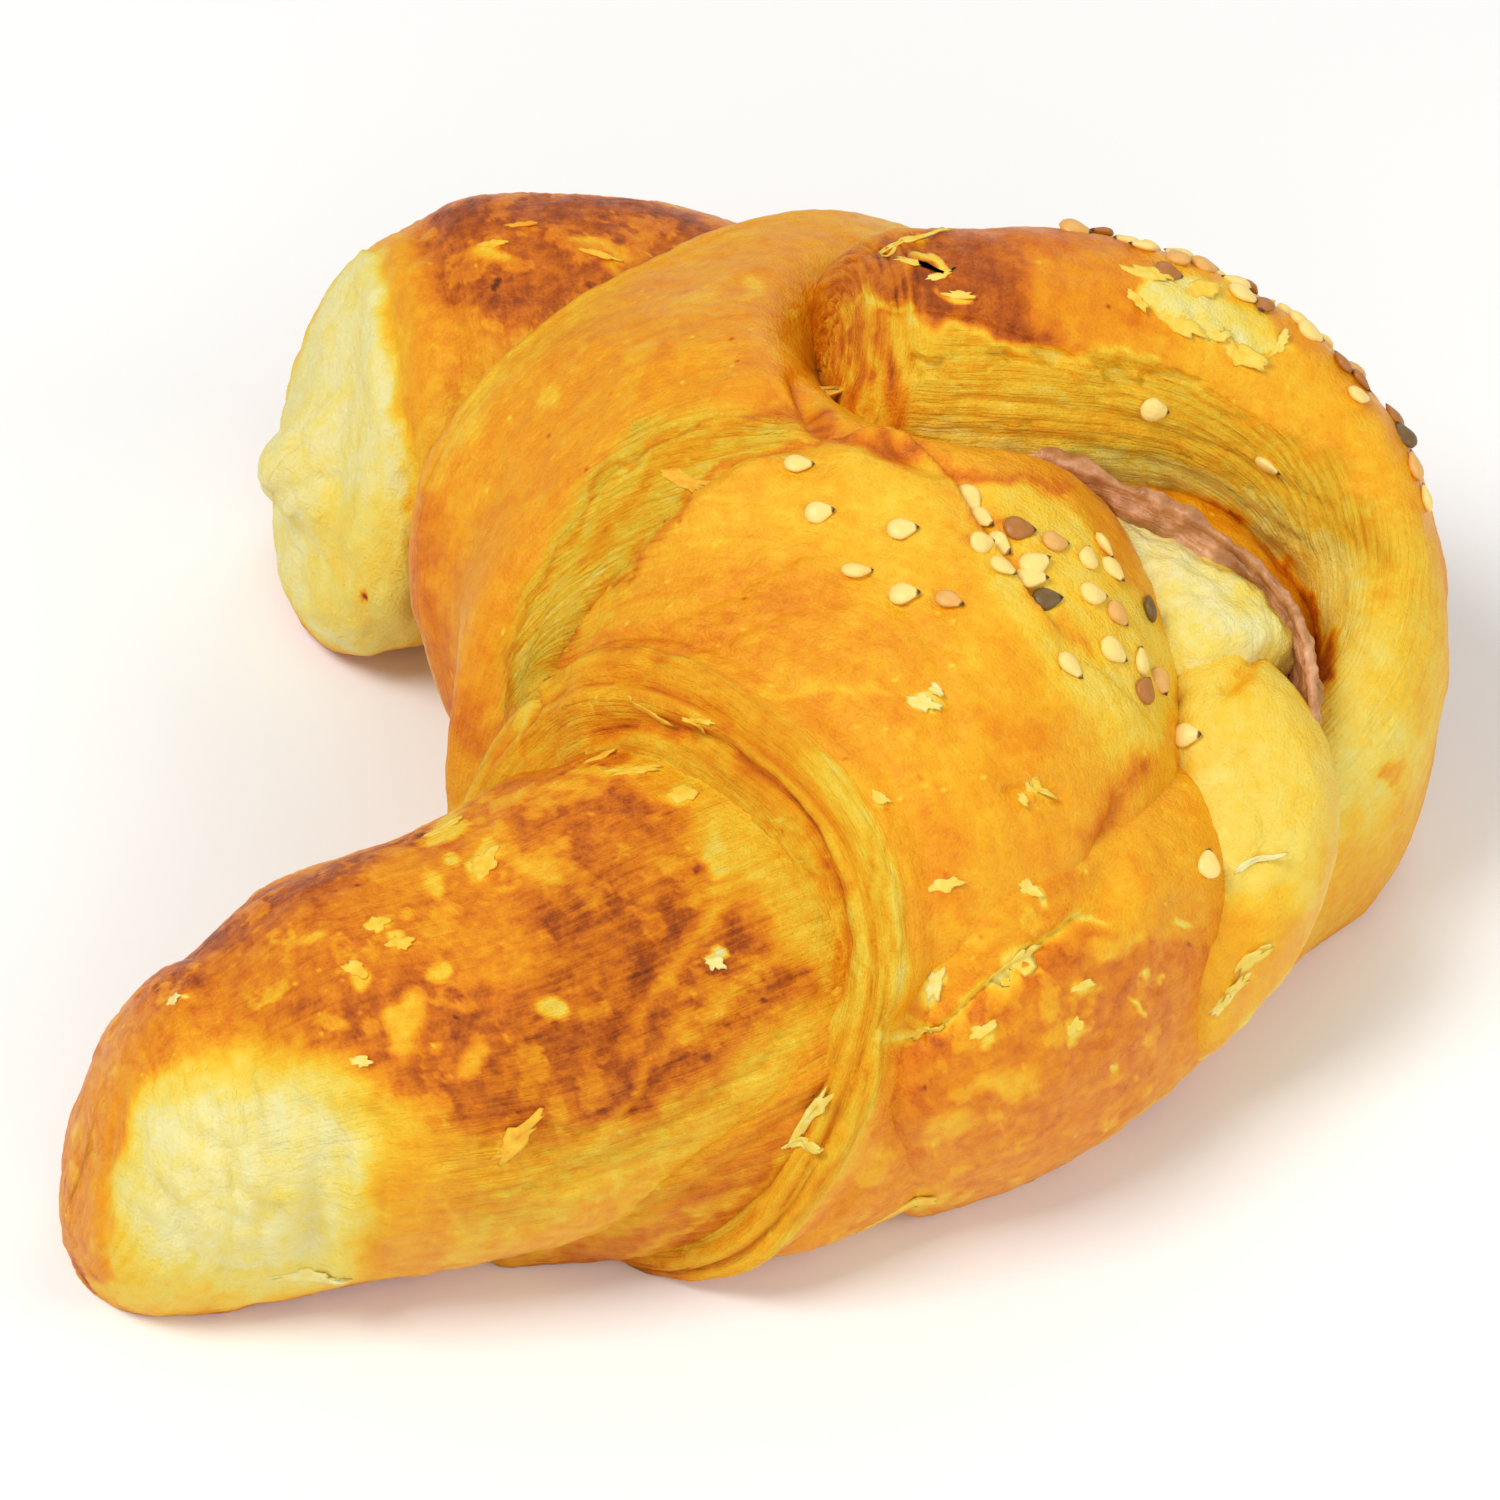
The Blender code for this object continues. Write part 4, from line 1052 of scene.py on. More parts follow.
# The roll's front rim, by how far in mm past the end of its body. Grooves and ridges are
# (height in mm, where, half width), and lines of colour (bake, share, where, half width).
RIM_RELIEF = ((-0.5, -2.6, 0.9), (0.55, 0.4, 0.8), (-0.55, 2.4, 0.6), (0.35, 3.7, 0.6))
# The dark line 2 mm before the rim's end is painted shade beside the groove just outside the rim.
RIM_COLOUR_AND_SHADE_LINES = ((0.24, 0.8, 0.1, 0.5), (0.70, 0.6, -2.0, 0.6), (0.66, 0.6, 2.4, 0.5))
# How the far ends of some forms are baked, and how strongly rings show on two tips.
ENDS = {
    "tongue": (("bake", 0.74),),
    "back_arm": (("bake", 0.06), ("crisp", 0.0), ("gloss", 0.1)),
}
TIP_RINGS = {"tongue": 0.9, "front_arm": 0.3}


def shape_rim(form):
    """The layers seen on edge at the roll's front rim."""
    past = form.along - form.body_end
    face = smooth(-1.2, 0.4, past)
    for height, where, half_width in RIM_RELIEF:
        form.height += height * bell(past - where, half_width)
    form.paint("bake", 0.41, face)
    # These lines include painted shade beside the rim's outer groove.
    for value, share, where, half_width in RIM_COLOUR_AND_SHADE_LINES:
        form.paint("bake", value, share * bell(past - where, half_width))
    form.paint("rings", 1.0, np.maximum(face, form.at_start))
    form.paint("gloss", 0.1, face)
    form.paint("crisp", 0.1, face)


def bake_form(name):
    """One form with all its marks and relief."""
    form = Form(name, FORMS[name])
    for surface, value in zip(Form.SURFACES, BASES[name]):
        form.paint(surface, value, 1.0)
    if name == "roll":
        shape_rim(form)
    for surface, value in ENDS.get(name, ()):
        form.paint(surface, value, form.at_end)
    underside_and_top(form)
    for surface, value, share, soft, corners in COLOUR_AND_SHADE_ZONES.get(name, ()):
        form.paint(surface, value, share * form.zone(corners, soft))
    for value, share, half_width, line in COLOUR_AND_SHADE_STREAKS.get(name, ()):
        form.paint("bake", value, share * form.stroke(line, half_width))
    mottle(form)
    for value, share, x, y, across, tall, turn in SPOTS.get(name, ()):
        form.paint("bake", value, share * form.spot(x, y, across, tall, turn))
    if name in TIP_RINGS:
        tip = smooth(form.body_end - 1.0, form.body_end + 1.5, form.along)
        form.paint("grain", 0.0, tip)
        form.paint("rings", TIP_RINGS[name], tip)
    laminate(form)
    wrinkle(form)
    if name == "inner_fold":
        form.height += FOLD_WRINKLE_HEIGHT * NOISE.layered(form.points / 2.2 + 30.0, 4)
    for height, half_width, line in FURROWS.get(name, ()):
        form.height += height * form.stroke(line, half_width, form.pixels)
    for height, reach, side, line in LIPS.get(name, ()):
        form.lip(line, height, reach, side)
    # Painted shade in the hollow behind the ham, on surfaces turned away from the camera.
    if name in ("tongue", "roll", "heart"):
        form.paint("bake", 0.78, form.zone(HAM_GAP_SHADE, 12, smooth(-0.6, -0.3, form.turned)))
    if name == "tongue":
        for x, y, across in PORES:
            form.height -= PORE_DEPTH * form.spot(x, y, 1.5 * across, 8, 8)
            form.paint("bake", 0.24, 0.9 * form.spot(x, y, 1.3 * across, 7, 8))
    form.bake = np.clip(form.bake, 0.0, 1.0)
    return form


# Materials.


def linear(red, green, blue):
    """A screen colour of 0 to 255 as the linear one that shaders take."""
    values = [v / 255 for v in (red, green, blue)]
    return [v / 12.92 if v <= 0.04045 else ((v + 0.055) / 1.055) ** 2.4 for v in values] + [1.0]


# How the crust's colour goes with how far it is baked.
CRUST_COLOURS = (
    (0.00, (234, 224, 156)),
    (0.12, (236, 213, 98)),
    (0.28, (240, 194, 46)),
    (0.42, (238, 168, 22)),
    (0.56, (231, 143, 8)),
    (0.70, (214, 112, 4)),
    (0.84, (166, 70, 4)),
    (1.00, (78, 28, 4)),
)


class Nodes:
    """Short ways to add and join a material's nodes."""

    def __init__(self, name):
        self.material = bpy.data.materials.new(name)
        self.material.use_nodes = True
        self.tree = self.material.node_tree
        self.shader = self.tree.nodes["Principled BSDF"]

    def put(self, socket, value):
        if isinstance(value, bpy.types.NodeSocket):
            self.tree.links.new(value, socket)
        else:
            socket.default_value = value

    def add(self, kind, inputs=(), **settings):
        node = self.tree.nodes.new(kind)
        for name, value in settings.items():
            setattr(node, name, value)
        for key, value in dict(inputs).items():
            self.put(node.inputs[key], value)
        return node

    def calc(self, first, second, operation="ADD", third=None):
        """What a Math node makes of up to three values or sockets."""
        node = self.tree.nodes.new("ShaderNodeMath")
        node.operation = operation
        for socket, value in zip(node.inputs, (first, second, third)):
            if value is not None:
                self.put(socket, value)
        return node.outputs[0]

    def scaled(self, value, strength, base):
        """The base with a share of the value added."""
        return self.calc(value, strength, "MULTIPLY_ADD", base)

    def times(self, first, second):
        return self.calc(first, second, "MULTIPLY")

    def surface(self, name):
        return self.add("ShaderNodeAttribute", attribute_name=name).outputs["Fac"]

    def noise(self, vector, scale, detail=4.0, roughness=0.55):
        """Noise about zero, from roughly -0.5 to 0.5."""
        inputs = {"Vector": vector, "Scale": scale, "Detail": detail, "Roughness": roughness}
        node = self.add("ShaderNodeTexNoise", inputs)
        return self.calc(node.outputs["Fac"], 0.5, "SUBTRACT")

    def stretched(self, vector, scale):
        node = self.add("ShaderNodeMapping", {"Vector": vector, "Scale": scale})
        return node.outputs["Vector"]

    def ramp(self, value, colours):
        node = self.add("ShaderNodeValToRGB", {"Fac": value})
        points = node.color_ramp.elements
        while len(points) < len(colours):
            points.new(0.5)
        for point, (place, colour) in zip(points, colours):
            point.position = place
            point.color = linear(*colour)
        return node.outputs["Color"]

    def bump(self, height, distance, normal=None):
        inputs = {"Height": height, "Distance": distance, "Strength": 1.0}
        if normal is not None:
            inputs["Normal"] = normal
        return self.add("ShaderNodeBump", inputs).outputs["Normal"]

    def finish(self, **sockets):
        for name, value in sockets.items():
            self.put(self.shader.inputs[name.replace("_", " ")], value)
        return self.material


def crust_material():
    """Egg-washed crust, from pale layers to dark brown, with fine streaks and blisters."""
    n = Nodes("baked_crust")
    place = n.add("ShaderNodeTexCoord").outputs["Object"]
    lengths = n.add("ShaderNodeUVMap", uv_map="lengths").outputs["UV"]
    rings = n.surface("rings")
    grain = n.surface("grain")
    crisp = n.surface("crisp")
    gloss = n.surface("gloss")

    # Streaks: UV is in units of 100 mm along the form and round it.
    ring_streaks = n.noise(n.stretched(lengths, (170.0, 6.0, 1.0)), 1.0, 5.0, 0.65)
    grain_streaks = n.noise(n.stretched(lengths, (6.0, 170.0, 1.0)), 1.0, 5.0, 0.65)
    streaks = n.calc(n.times(ring_streaks, rings), n.times(grain_streaks, grain))
    spots = n.noise(place, 800.0, 3.0, 0.5)
    patches = n.noise(place, 330.0, 5.0, 0.62)
    specks = n.noise(place, 3200.0, 3.0, 0.6)
    faint = n.noise(n.stretched(lengths, (50.0, 14.0, 1.0)), 1.0, 4.0, 0.6)

    bake = n.scaled(streaks, 0.36, n.surface("bake"))
    bake = n.scaled(n.times(spots, crisp), 0.28, bake)
    for noise, strength in ((spots, 0.10), (patches, 0.24), (specks, 0.09), (faint, 0.22)):
        bake = n.scaled(noise, strength, bake)
    colour = n.ramp(bake, CRUST_COLOURS)

    rough = n.scaled(gloss, -0.36, 0.64)
    rough = n.scaled(spots, 0.16, rough)
    relief = n.scaled(streaks, 1.4, n.times(spots, 0.5))
    relief = n.scaled(specks, 0.3, relief)
    normal = n.bump(relief, 0.00045)
    return n.finish(
        Base_Color=colour,
        Roughness=rough,
        Normal=normal,
        Specular_IOR_Level=0.45,
        Specular_Tint=(1.0, 0.80, 0.45, 1.0),
    )


HAM_COLOURS = (
    (0.0, (138, 82, 44)),
    (0.40, (186, 128, 78)),
    (0.65, (216, 158, 116)),
    (1.0, (240, 206, 172)),
)


def ham_material():
    """Cooked ham: pink and brown along its fibres."""
    n = Nodes("cooked_ham")
    place = n.add("ShaderNodeTexCoord").outputs["Object"]
    lengths = n.add("ShaderNodeUVMap", uv_map="lengths").outputs["UV"]
    fibres = n.noise(n.stretched(lengths, (12.0, 120.0, 1.0)), 1.0, 4.0, 0.6)
    blots = n.noise(place, 420.0, 4.0, 0.6)
    value = n.scaled(fibres, 0.7, n.scaled(blots, 1.5, 0.42))
    colour = n.ramp(value, HAM_COLOURS)
    rough = n.scaled(blots, 0.3, 0.42)
    normal = n.bump(n.calc(fibres, blots), 0.0004)
    return n.finish(Base_Color=colour, Roughness=rough, Normal=normal)


def seed_material(name, body, tip):
    """Sesame of one shade, darker at its point."""
    n = Nodes(name)
    place = n.add("ShaderNodeTexCoord").outputs["Object"]
    grain = n.noise(place, 2600.0, 3.0, 0.5)
    value = n.scaled(grain, 0.5, n.surface("tip"))
    colour = n.ramp(value, ((0.0, body), (0.45, body), (0.8, tip), (1.0, tip)))
    return n.finish(Base_Color=colour, Roughness=0.42, Normal=n.bump(grain, 0.00008))


def flake_material():
    """The crust's colours, dry and without layers."""
    n = Nodes("loose_flakes")
    place = n.add("ShaderNodeTexCoord").outputs["Object"]
    grain = n.noise(place, 1100.0, 4.0, 0.6)
    value = n.scaled(grain, 0.5, n.surface("bake"))
    colour = n.ramp(value, CRUST_COLOURS)
    return n.finish(Base_Color=colour, Roughness=0.6, Normal=n.bump(grain, 0.0001))


# Loose flakes of crust and torn edges: x and y of the middle in the photograph's pixels,
# half length, half width, turn in degrees, how far the end lifts in mm, and how baked.
FLAKES = (
    (515, 1140, 36, 9, -56, 1.1, 0.34), (809, 1116, 36, 6, -65, 1.0, 0.14),
    (800, 1140, 16, 4, -20, 0.8, 0.14), (1232, 990, 26, 7, -70, 1.0, 0.14),
    (1250, 960, 20, 8, -40, 0.8, 0.16), (1262, 950, 12, 5, -20, 0.6, 0.12),
    (1222, 1004, 14, 5, -80, 0.5, 0.12), (1253, 860, 26, 3, -25, 1.3, 0.02),
    (1150, 272, 22, 8, 15, 0.6, 0.20), (1200, 290, 20, 9, -20, 0.5, 0.26),
    (1136, 300, 14, 6, 60, 0.6, 0.22), (1180, 325, 24, 8, 25, 0.5, 0.22),
    (1240, 352, 26, 10, 30, 0.6, 0.22), (1280, 345, 16, 6, -60, 0.7, 0.16),
    (1262, 300, 12, 6, 80, 0.5, 0.18), (1215, 335, 14, 6, 0, 0.5, 0.12),
    (690, 484, 38, 8, 20, 0.9, 0.36), (1108, 1148, 14, 6, 15, 1.0, 0.30),
    (925, 703, 14, 8, 30, 0.4, 0.10), (935, 690, 8, 5, 60, 0.4, 0.06),
    (879, 798, 9, 5, 40, 0.3, 0.18), (905, 240, 30, 4, -10, 0.4, 0.20),
    (915, 262, 26, 4, 25, 0.5, 0.20), (940, 275, 16, 4, -30, 0.4, 0.18),
    (960, 296, 16, 4, 10, 0.4, 0.20), (890, 255, 16, 3, 70, 0.4, 0.22),
    (836, 400, 14, 10, 80, 0.5, 0.42), (305, 1274, 34, 7, 0, 0.5, 0.06),
    (361, 1061, 10, 5, 0, 0.4, 0.10), (174, 1000, 7, 5, 0, 0.3, 0.04),
    (715, 963, 9, 6, 30, 0.3, 0.05), (1036, 790, 16, 5, 20, 0.5, 0.20),
    (1024, 800, 8, 4, 80, 0.5, 0.20), (377, 924, 12, 10, 0, 0.2, 0.28),
    (354, 970, 14, 8, 30, 0.2, 0.28), (400, 943, 12, 7, 0, 0.2, 0.30),
    (446, 828, 20, 8, -30, 0.3, 0.24), (484, 866, 12, 18, 20, 0.2, 0.26),
    (633, 770, 26, 6, 10, 0.3, 0.26), (683, 793, 14, 10, 0, 0.2, 0.28),
    (600, 757, 18, 5, -15, 0.4, 0.32), (945, 884, 14, 7, -20, 0.3, 0.18),
    (1031, 890, 12, 6, 30, 0.3, 0.16), (936, 983, 8, 14, 10, 0.2, 0.08),
    (1082, 986, 14, 5, -10, 0.3, 0.20), (1076, 1027, 9, 8, 0, 0.3, 0.20),
    (983, 1030, 12, 6, -30, 0.3, 0.18), (905, 1208, 36, 12, -25, 0.4, 0.26),
    (1012, 962, 24, 6, -38, 0.5, 0.16), (925, 1030, 16, 4, -25, 0.4, 0.22),
    (650, 712, 22, 4, -10, 0.4, 0.30), (700, 722, 16, 4, 20, 0.4, 0.28),
    (493, 244, 16, 6, 10, 0.3, 0.32), (600, 255, 22, 4, 25, 0.3, 0.34),
    (520, 225, 14, 4, -5, 0.3, 0.42),
)
FLAKE_RINGS = 4
FLAKE_SIDES = 26
FLAKE_THICKNESS = 0.2
FLAKE_CLEARANCE = 0.06
# A flake's points are dropped on to the dough from this high above its middle, in mm.
DROP_HEIGHT = 2.0


def flake_shape(number, across, tall, lift):
    """A torn scrap in mm about its middle: its plan, how high it lifts, and its faces."""
    plan = [(0.0, 0.0)]
    rise = [0.0]
    for ring in range(1, FLAKE_RINGS + 1):
        for side in range(FLAKE_SIDES):
            a = 2 * math.pi * side / FLAKE_SIDES
            place = np.array([[2.2 * math.cos(a), 2.2 * math.sin(a), 7.0 * number + 0.5]])
            torn = 1 + 0.55 * float(NOISE.layered(place, 3)[0])
            reach = torn * ring / FLAKE_RINGS
            plan.append((reach * across * math.cos(a), reach * tall * math.sin(a)))
            rise.append(lift * float(smooth(-0.3, 1.1, reach * math.cos(a))))
    count = len(plan)
    faces = []
    for side in range(FLAKE_SIDES):
        beside = (side + 1) % FLAKE_SIDES
        faces.append((0, 1 + side, 1 + beside))
        faces.append((count, count + 1 + beside, count + 1 + side))
        for ring in range(FLAKE_RINGS - 1):
            a = 1 + ring * FLAKE_SIDES
            b = a + FLAKE_SIDES
            faces.append((a + side, b + side, b + beside, a + beside))
            under = (a + beside, b + beside, b + side, a + side)
            faces.append(tuple(count + corner for corner in under))
        a = 1 + (FLAKE_RINGS - 1) * FLAKE_SIDES
        faces.append((a + side, count + a + side, count + a + beside, a + beside))
    return plan, rise, faces


def nearest_hit(carriers, start, line):
    """Where a ray from start along line first meets the dough, in metres, and the normal there."""
    found = []
    for carrier in carriers:
        ok, spot, normal, _ = carrier.ray_cast(Vector(start), Vector(line))
        if ok:
            found.append(((spot - Vector(start)).length, spot, normal))
    return min(found, key=lambda f: f[0])[1:] if found else None


def lay_flakes(carriers):
    """Every flake as a thin closed scrap that follows the dough under it."""
    start = (CAMERA_AT - MIDDLE) * MM
    parts = []
    for number, (x, y, across, tall, turn, lift, bake) in enumerate(FLAKES):
        found = nearest_hit(carriers, start, sight_line((x, y)))
        if not found:
            continue
        middle, normal = found
        out = normal.normalized()
        a = math.radians(turn)
        forward = Vector(PICTURE_RIGHT * math.cos(a) - PICTURE_UP * math.sin(a))
        forward = (forward - out * forward.dot(out)).normalized()
        sideways = out.cross(forward)
        plan, rise, faces = flake_shape(number, across / PIXELS_PER_MM, tall / PIXELS_PER_MM, lift)
        upper = []
        for (u, v), up in zip(plan, rise):
            above = middle + (forward * u + sideways * v + out * DROP_HEIGHT) * MM
            below = nearest_hit(carriers, above, -out)
            near = below and (below[0] - above).length < 2 * DROP_HEIGHT * MM
            spot = below[0] if near else above - out * DROP_HEIGHT * MM
            upper.append(spot / MM + Vector(MIDDLE) + out * (FLAKE_CLEARANCE + up))
        lower = [point - out * FLAKE_THICKNESS for point in upper]
        parts.append((upper + lower, faces, [bake] * (2 * len(upper))))
    return parts


def plain_material(name, colour, roughness):
    """One colour all over."""
    n = Nodes(name)
    return n.finish(Base_Color=linear(*colour), Roughness=roughness)


# Pieces.


def show(name, mesh, material, node):
    """Adds a piece that stands for a CAD node and rides on the one body."""
    obj = bpy.data.objects.new(name, mesh)
    bpy.context.scene.collection.objects.link(obj)
    mesh.materials.append(material)
    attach(obj, "root")
    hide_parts(node)
    return obj


def joined_mesh(name, parts, surface):
    """One mesh of many small closed ones, each (points in mm, faces, a value at each point)."""
    points = []
    faces = []
    values = []
    for part_points, part_faces, part_values in parts:
        start = len(points)
        points.extend(part_points)
        faces.extend([tuple(start + i for i in face) for face in part_faces])
        values.extend(part_values)
    mesh = bpy.data.meshes.new(name)
    places = (np.array(points) - MIDDLE) * MM
    mesh.from_pydata(np.clip(places, cad_low, cad_high).tolist(), [], faces)
    mesh.shade_smooth()
    layer = mesh.attributes.new(surface, "FLOAT", "POINT")
    layer.data.foreach_set("value", np.array(values, np.float32))
    return mesh


SEED_LENGTH = 3.0
SEED_WIDTH = 2.15
SEED_THICKNESS = 1.0
SEED_SIDES = 12
SEED_ROWS = 9


def seed_shape():
    """A flat drop with its point at +X: points, faces, and how near its point each one is."""
    points = [(-0.5, 0.0, 0.0)]
    tips = [0.0]
    for k in range(1, SEED_ROWS):
        x = -0.5 + k / SEED_ROWS
        wide = math.sqrt(max(1 - (2 * x) ** 2, 0.0)) * (1 - 0.62 * smooth(-0.2, 0.6, x))
        for j in range(SEED_SIDES):
            a = 2 * math.pi * j / SEED_SIDES
            points.append((x, 0.56 * wide * math.cos(a), 0.55 * wide * math.sin(a)))
            tips.append(float(smooth(0.26, 0.46, x)))
    points.append((0.5, 0.0, 0.0))
    tips.append(1.0)
    last = len(points) - 1
    faces = []
    for j in range(SEED_SIDES):
        k = (j + 1) % SEED_SIDES
        faces.append((0, 1 + k, 1 + j))
        faces.append((last, last - SEED_SIDES + j, last - SEED_SIDES + k))
        for row in range(SEED_ROWS - 2):
            a = 1 + row * SEED_SIDES
            faces.append((a + j, a + k, a + SEED_SIDES + k, a + SEED_SIDES + j))
    return np.array(points) * (SEED_LENGTH, SEED_WIDTH, SEED_THICKNESS), faces, tips


# The seeds that the photograph shows: x and y in its pixels, turn in degrees, and shade.
SEEDS = (
    (799, 465, 0, "pale"), (820, 513, 10, "pale"), (903, 530, 5, "pale"), (857, 572, 20, "pale"),
    (905, 594, 0, "pale"), (950, 601, -30, "tan"), (969, 500, -60, "pale"),
    (981, 519, -40, "pale"), (1019, 530, 10, "brown"), (1055, 543, 20, "tan"),
    (982, 544, 30, "pale"), (999, 546, -40, "pale"), (1003, 568, -30, "pale"),
    (1035, 564, 30, "pale"), (1032, 578, 0, "pale"), (1047, 600, 10, "dark"),
    (1087, 558, 60, "pale"), (1103, 547, -50, "pale"), (1112, 571, -60, "pale"),
    (1093, 595, 10, "pale"), (1117, 615, -30, "tan"), (1148, 608, 40, "dark"),
    (1070, 667, -50, "pale"), (1113, 652, -20, "pale"), (1140, 661, 60, "pale"),
    (1159, 682, -70, "tan"), (1144, 690, 40, "brown"), (1188, 735, 0, "pale"),
    (1207, 864, 60, "pale"), (1154, 410, -10, "pale"), (1269, 465, -5, "pale"),
    (1168, 274, 10, "brown"), (1160, 240, 10, "pale"), (1239, 271, 20, "pale"),
    (1269, 294, 40, "pale"), (1283, 300, -40, "pale"), (1296, 302, 60, "tan"),
    (1300, 322, 40, "pale"), (1314, 314, -30, "pale"), (1310, 334, 10, "pale"),
    (1328, 336, 30, "tan"), (1341, 348, 60, "pale"), (1357, 352, 80, "pale"),
    (1364, 369, 50, "brown"), (1376, 388, 70, "tan"), (1392, 417, 60, "brown"),
    (1403, 436, 80, "dark"), (1413, 466, 70, "tan"), (1424, 498, 80, "pale"),
)
SEED_SHADES = {
    "pale": ((250, 218, 126), (96, 48, 14)),
    "tan": ((232, 174, 88), (84, 40, 12)),
    "brown": ((178, 112, 44), (66, 32, 10)),
    "dark": ((112, 84, 38), (40, 26, 14)),
}
# More seeds behind the tongue's ridge, where the photograph doesn't reach: a line in plan,
# how far off it they lie and how many there are.
HIDDEN_SEEDS = (((30, 41), (41, 40), (50, 36), (58, 28)), 3.6, 26)
SEED_RANDOM = 7
SEED_GAP = 2.0
SEED_TILT = 0.35
SEED_LIFT = 0.22
HIDDEN_SHADES = ("pale", "pale", "tan", "brown")


def lay_seeds(carriers):
    """Seeds lying on the dough, as meshes by shade."""
    rng = random.Random(SEED_RANDOM)
    shape, faces, tips = seed_shape()
    parts = {shade: [] for shade in SEED_SHADES}
    laid = []

    def lay(spot, normal, forward, shade):
        out = normal.normalized()
        forward = (forward - out * forward.dot(out)).normalized()
        tilt = Matrix.Rotation(rng.uniform(-SEED_TILT, SEED_TILT), 3, forward)
        basis = Matrix((forward, out.cross(forward), out)).transposed()
        scale = rng.uniform(0.9, 1.08)
        place = spot / MM + Vector(MIDDLE) + out * SEED_LIFT * SEED_THICKNESS
        turn = tilt @ basis
        points = [place + turn @ Vector(p * scale) for p in shape]
        parts[shade].append((points, faces, tips))
        laid.append(place)

    start = (CAMERA_AT - MIDDLE) * MM
    for x, y, turn, shade in SEEDS:
        found = nearest_hit(carriers, start, sight_line((x, y)))
        if found:
            a = math.radians(turn)
            forward = Vector(PICTURE_RIGHT * math.cos(a) + PICTURE_UP * math.sin(a))
            lay(*found, forward, shade)
    line, reach, count = HIDDEN_SEEDS
    added = 0
    for _ in range(40 * count):
        k = rng.random() * (len(line) - 1)
        i = min(int(k), len(line) - 2)
        x, y = (Vector(line[i]).lerp(Vector(line[i + 1]), k - i)).to_tuple()
        x += rng.uniform(-reach, reach)
        y += rng.uniform(-reach, reach)
        above = (Vector((x, y, 90.0)) - Vector(MIDDLE)) * MM
        found = nearest_hit(carriers, above, (0, 0, -1))
        if not found or found[1].z < 0.3 or added == count:
            continue
        place = found[0] / MM + Vector(MIDDLE)
        if any((place - other).length < SEED_GAP for other in laid):
            continue
        a = rng.uniform(0, 2 * math.pi)
        lay(*found, Vector((math.cos(a), math.sin(a), 0)), rng.choice(HIDDEN_SHADES))
        added += 1
    return parts


# The studio: the floor in metres, and each light's place and size in metres and its watts.
FLOOR_HALF = 3.0
FLOOR_DROP = 0.00005
FLOOR_COLOUR = (248, 248, 246)
WORLD_STRENGTH = 0.38
LIGHTS = (
    ("key", (-0.30, -0.12, 0.62), 0.28, 2.85),
    ("front", (0.12, -0.66, 0.34), 0.5, 1.15),
    ("right", (0.60, -0.22, 0.36), 0.4, 1.25),
    ("back", (0.25, 0.55, 0.45), 0.35, 0.8),
)
LIGHTS_AIM = Vector((0, 0, 0.02))


def placed(name, data):
    """A new object of the scene that holds this mesh, light or camera."""
    obj = bpy.data.objects.new(name, data)
    bpy.context.scene.collection.objects.link(obj)
    return obj


def lay_floor():
    """A pale floor just under the part."""
    mesh = bpy.data.meshes.new("floor")
    half = FLOOR_HALF
    corners = [(-half, -half, 0), (half, -half, 0), (half, half, 0), (-half, half, 0)]
    mesh.from_pydata(corners, [], [(0, 1, 2, 3)])
    mesh.materials.append(plain_material("pale_floor", FLOOR_COLOUR, 0.9))
    floor = placed("floor", mesh)
    floor.location.z = -FLOOR_DROP


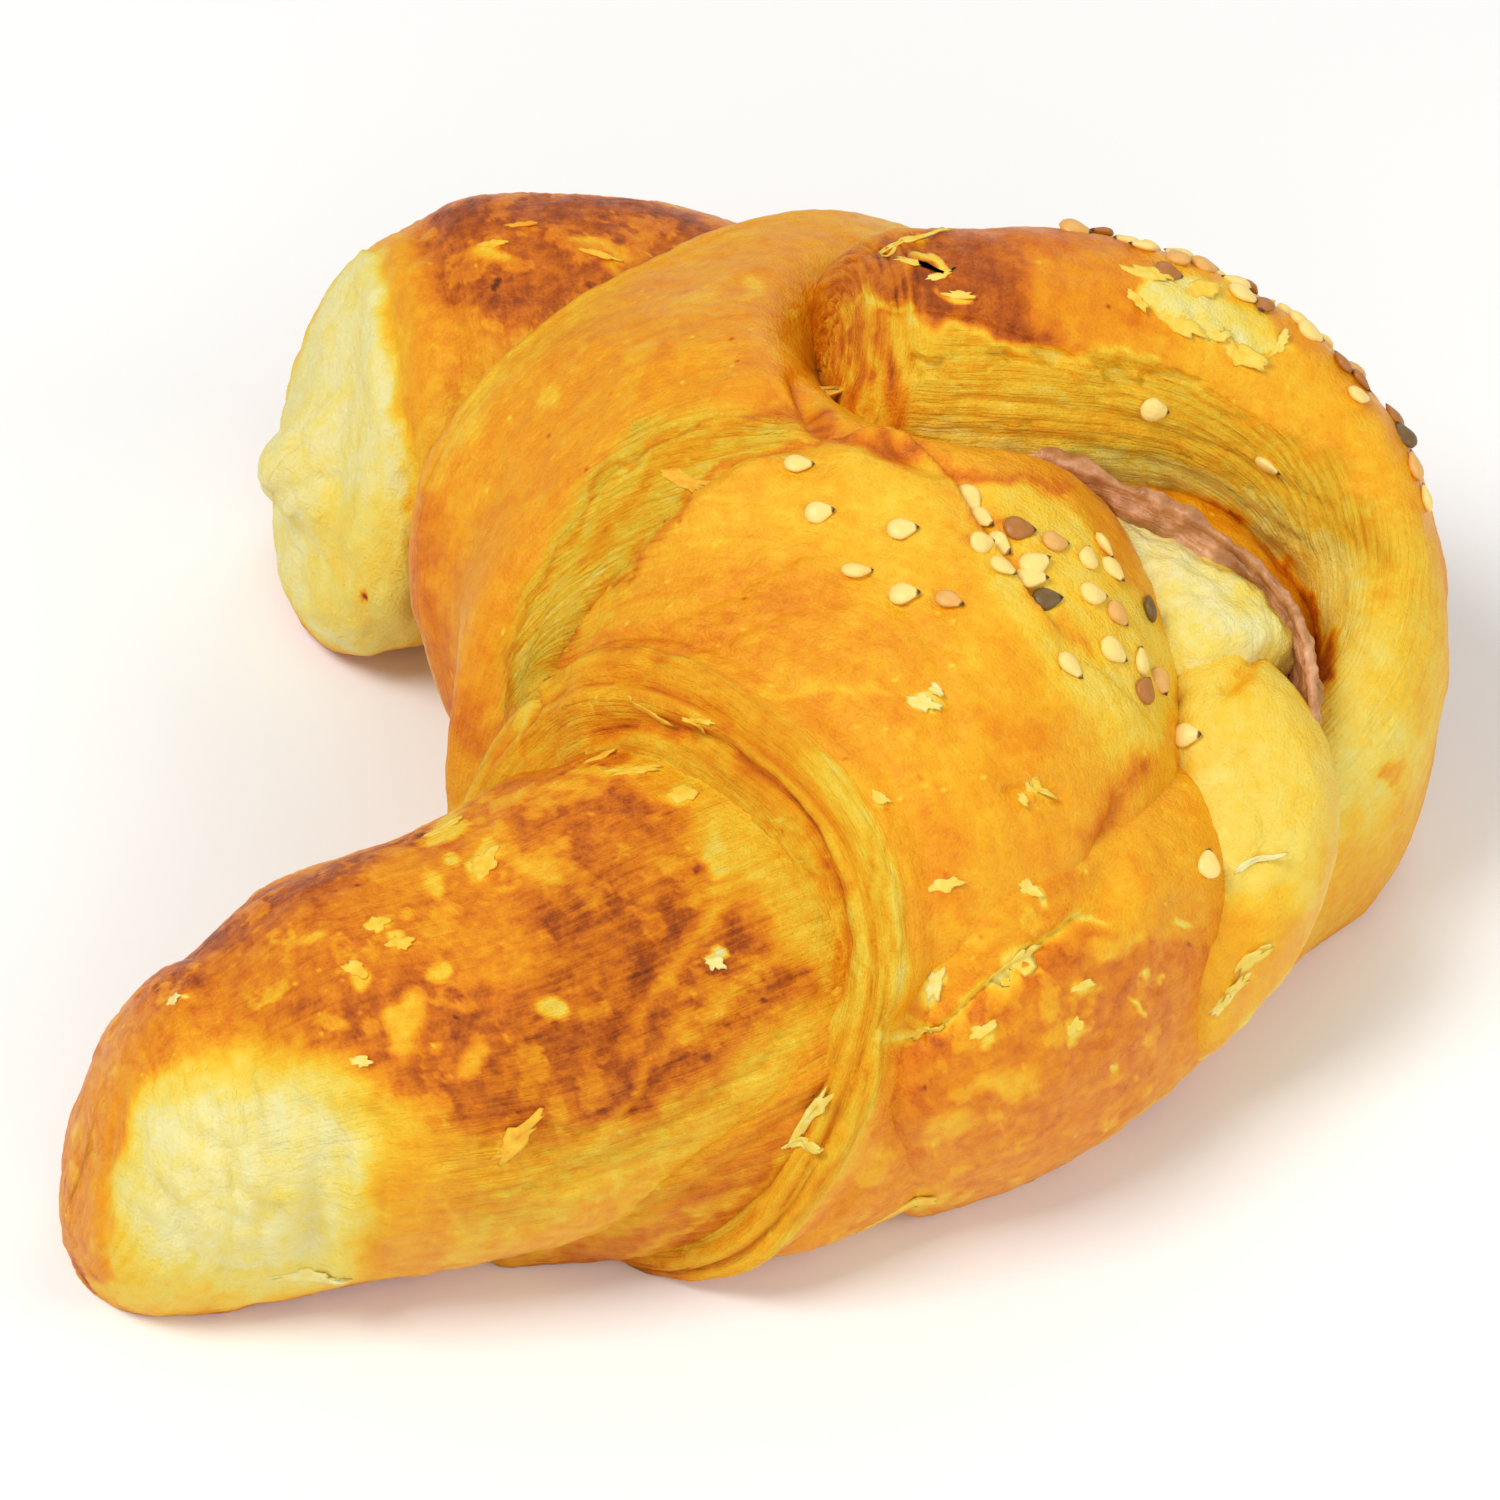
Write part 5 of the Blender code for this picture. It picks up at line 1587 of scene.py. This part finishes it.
def light_studio():
    """Soft light from four sides and a white world."""
    world = bpy.data.worlds.new("studio")
    world.use_nodes = True
    background = world.node_tree.nodes["Background"]
    background.inputs["Color"].default_value = (1.0, 1.0, 1.0, 1.0)
    background.inputs["Strength"].default_value = WORLD_STRENGTH
    bpy.context.scene.world = world
    bpy.context.scene.view_settings.view_transform = "Standard"
    for name, place, size, power in LIGHTS:
        lamp = bpy.data.lights.new(name, "AREA")
        lamp.size = size
        lamp.energy = power
        lamp_object = placed(name, lamp)
        lamp_object.location = place
        aim = LIGHTS_AIM - Vector(place)
        lamp_object.rotation_euler = aim.to_track_quat("-Z", "Y").to_euler()


def set_camera():
    """The camera at the photograph's angle."""
    lens = bpy.data.cameras.new("camera")
    lens.sensor_width = SENSOR_MM
    lens.lens = SENSOR_MM * FOCAL_PIXELS / PHOTO_SIDE
    camera = placed("camera", lens)
    camera.location = (CAMERA_AT - MIDDLE) * MM
    camera.rotation_euler = (math.pi / 2 - CAMERA_ELEVATION, 0, 0)
    bpy.context.scene.camera = camera


# How far in mm the ham's upper edge is raised, and how crumpled it is.
HAM_EDGE_RISE = 0.9
HAM_CRUMPLE = 0.5
HAM_ROUGHNESS = 0.25

crust = crust_material()
dough = {}
for number, form_name in enumerate(FORMS):
    form = bake_form(form_name)
    lowest = cad_low.copy()
    lowest.z += number * FLAT_STEP * MM
    dough[form_name] = show(form_name, form.mesh(lowest, cad_high), crust, "croissant")

ham_form = Form("ham_slice", HAM_FORM)
ham_form.height += HAM_EDGE_RISE * smooth(0.3, 1.0, ham_form.normals[:, 2])
crumple = HAM_CRUMPLE * NOISE.layered(ham_form.points / 3.0, 4)
ham_form.height += crumple + HAM_ROUGHNESS * OTHER_NOISE(ham_form.points / 0.9)
show("ham_slice", ham_form.mesh(cad_low, cad_high), ham_material(), "ham")

bpy.context.view_layer.update()
seed_parts = lay_seeds([dough[n] for n in ("roll", "tongue", "belly", "inner_fold", "outer_fold")])
for shade, (body_colour, tip_colour) in SEED_SHADES.items():
    seeds = joined_mesh(f"seeds_{shade}", seed_parts[shade], "tip")
    finish = seed_material(f"sesame_{shade}", body_colour, tip_colour)
    show(f"seeds_{shade}", seeds, finish, "croissant")

flakes = joined_mesh("loose_flakes", lay_flakes(list(dough.values())), "bake")
show("loose_flakes", flakes, flake_material(), "croissant")

lay_floor()
light_studio()
set_camera()
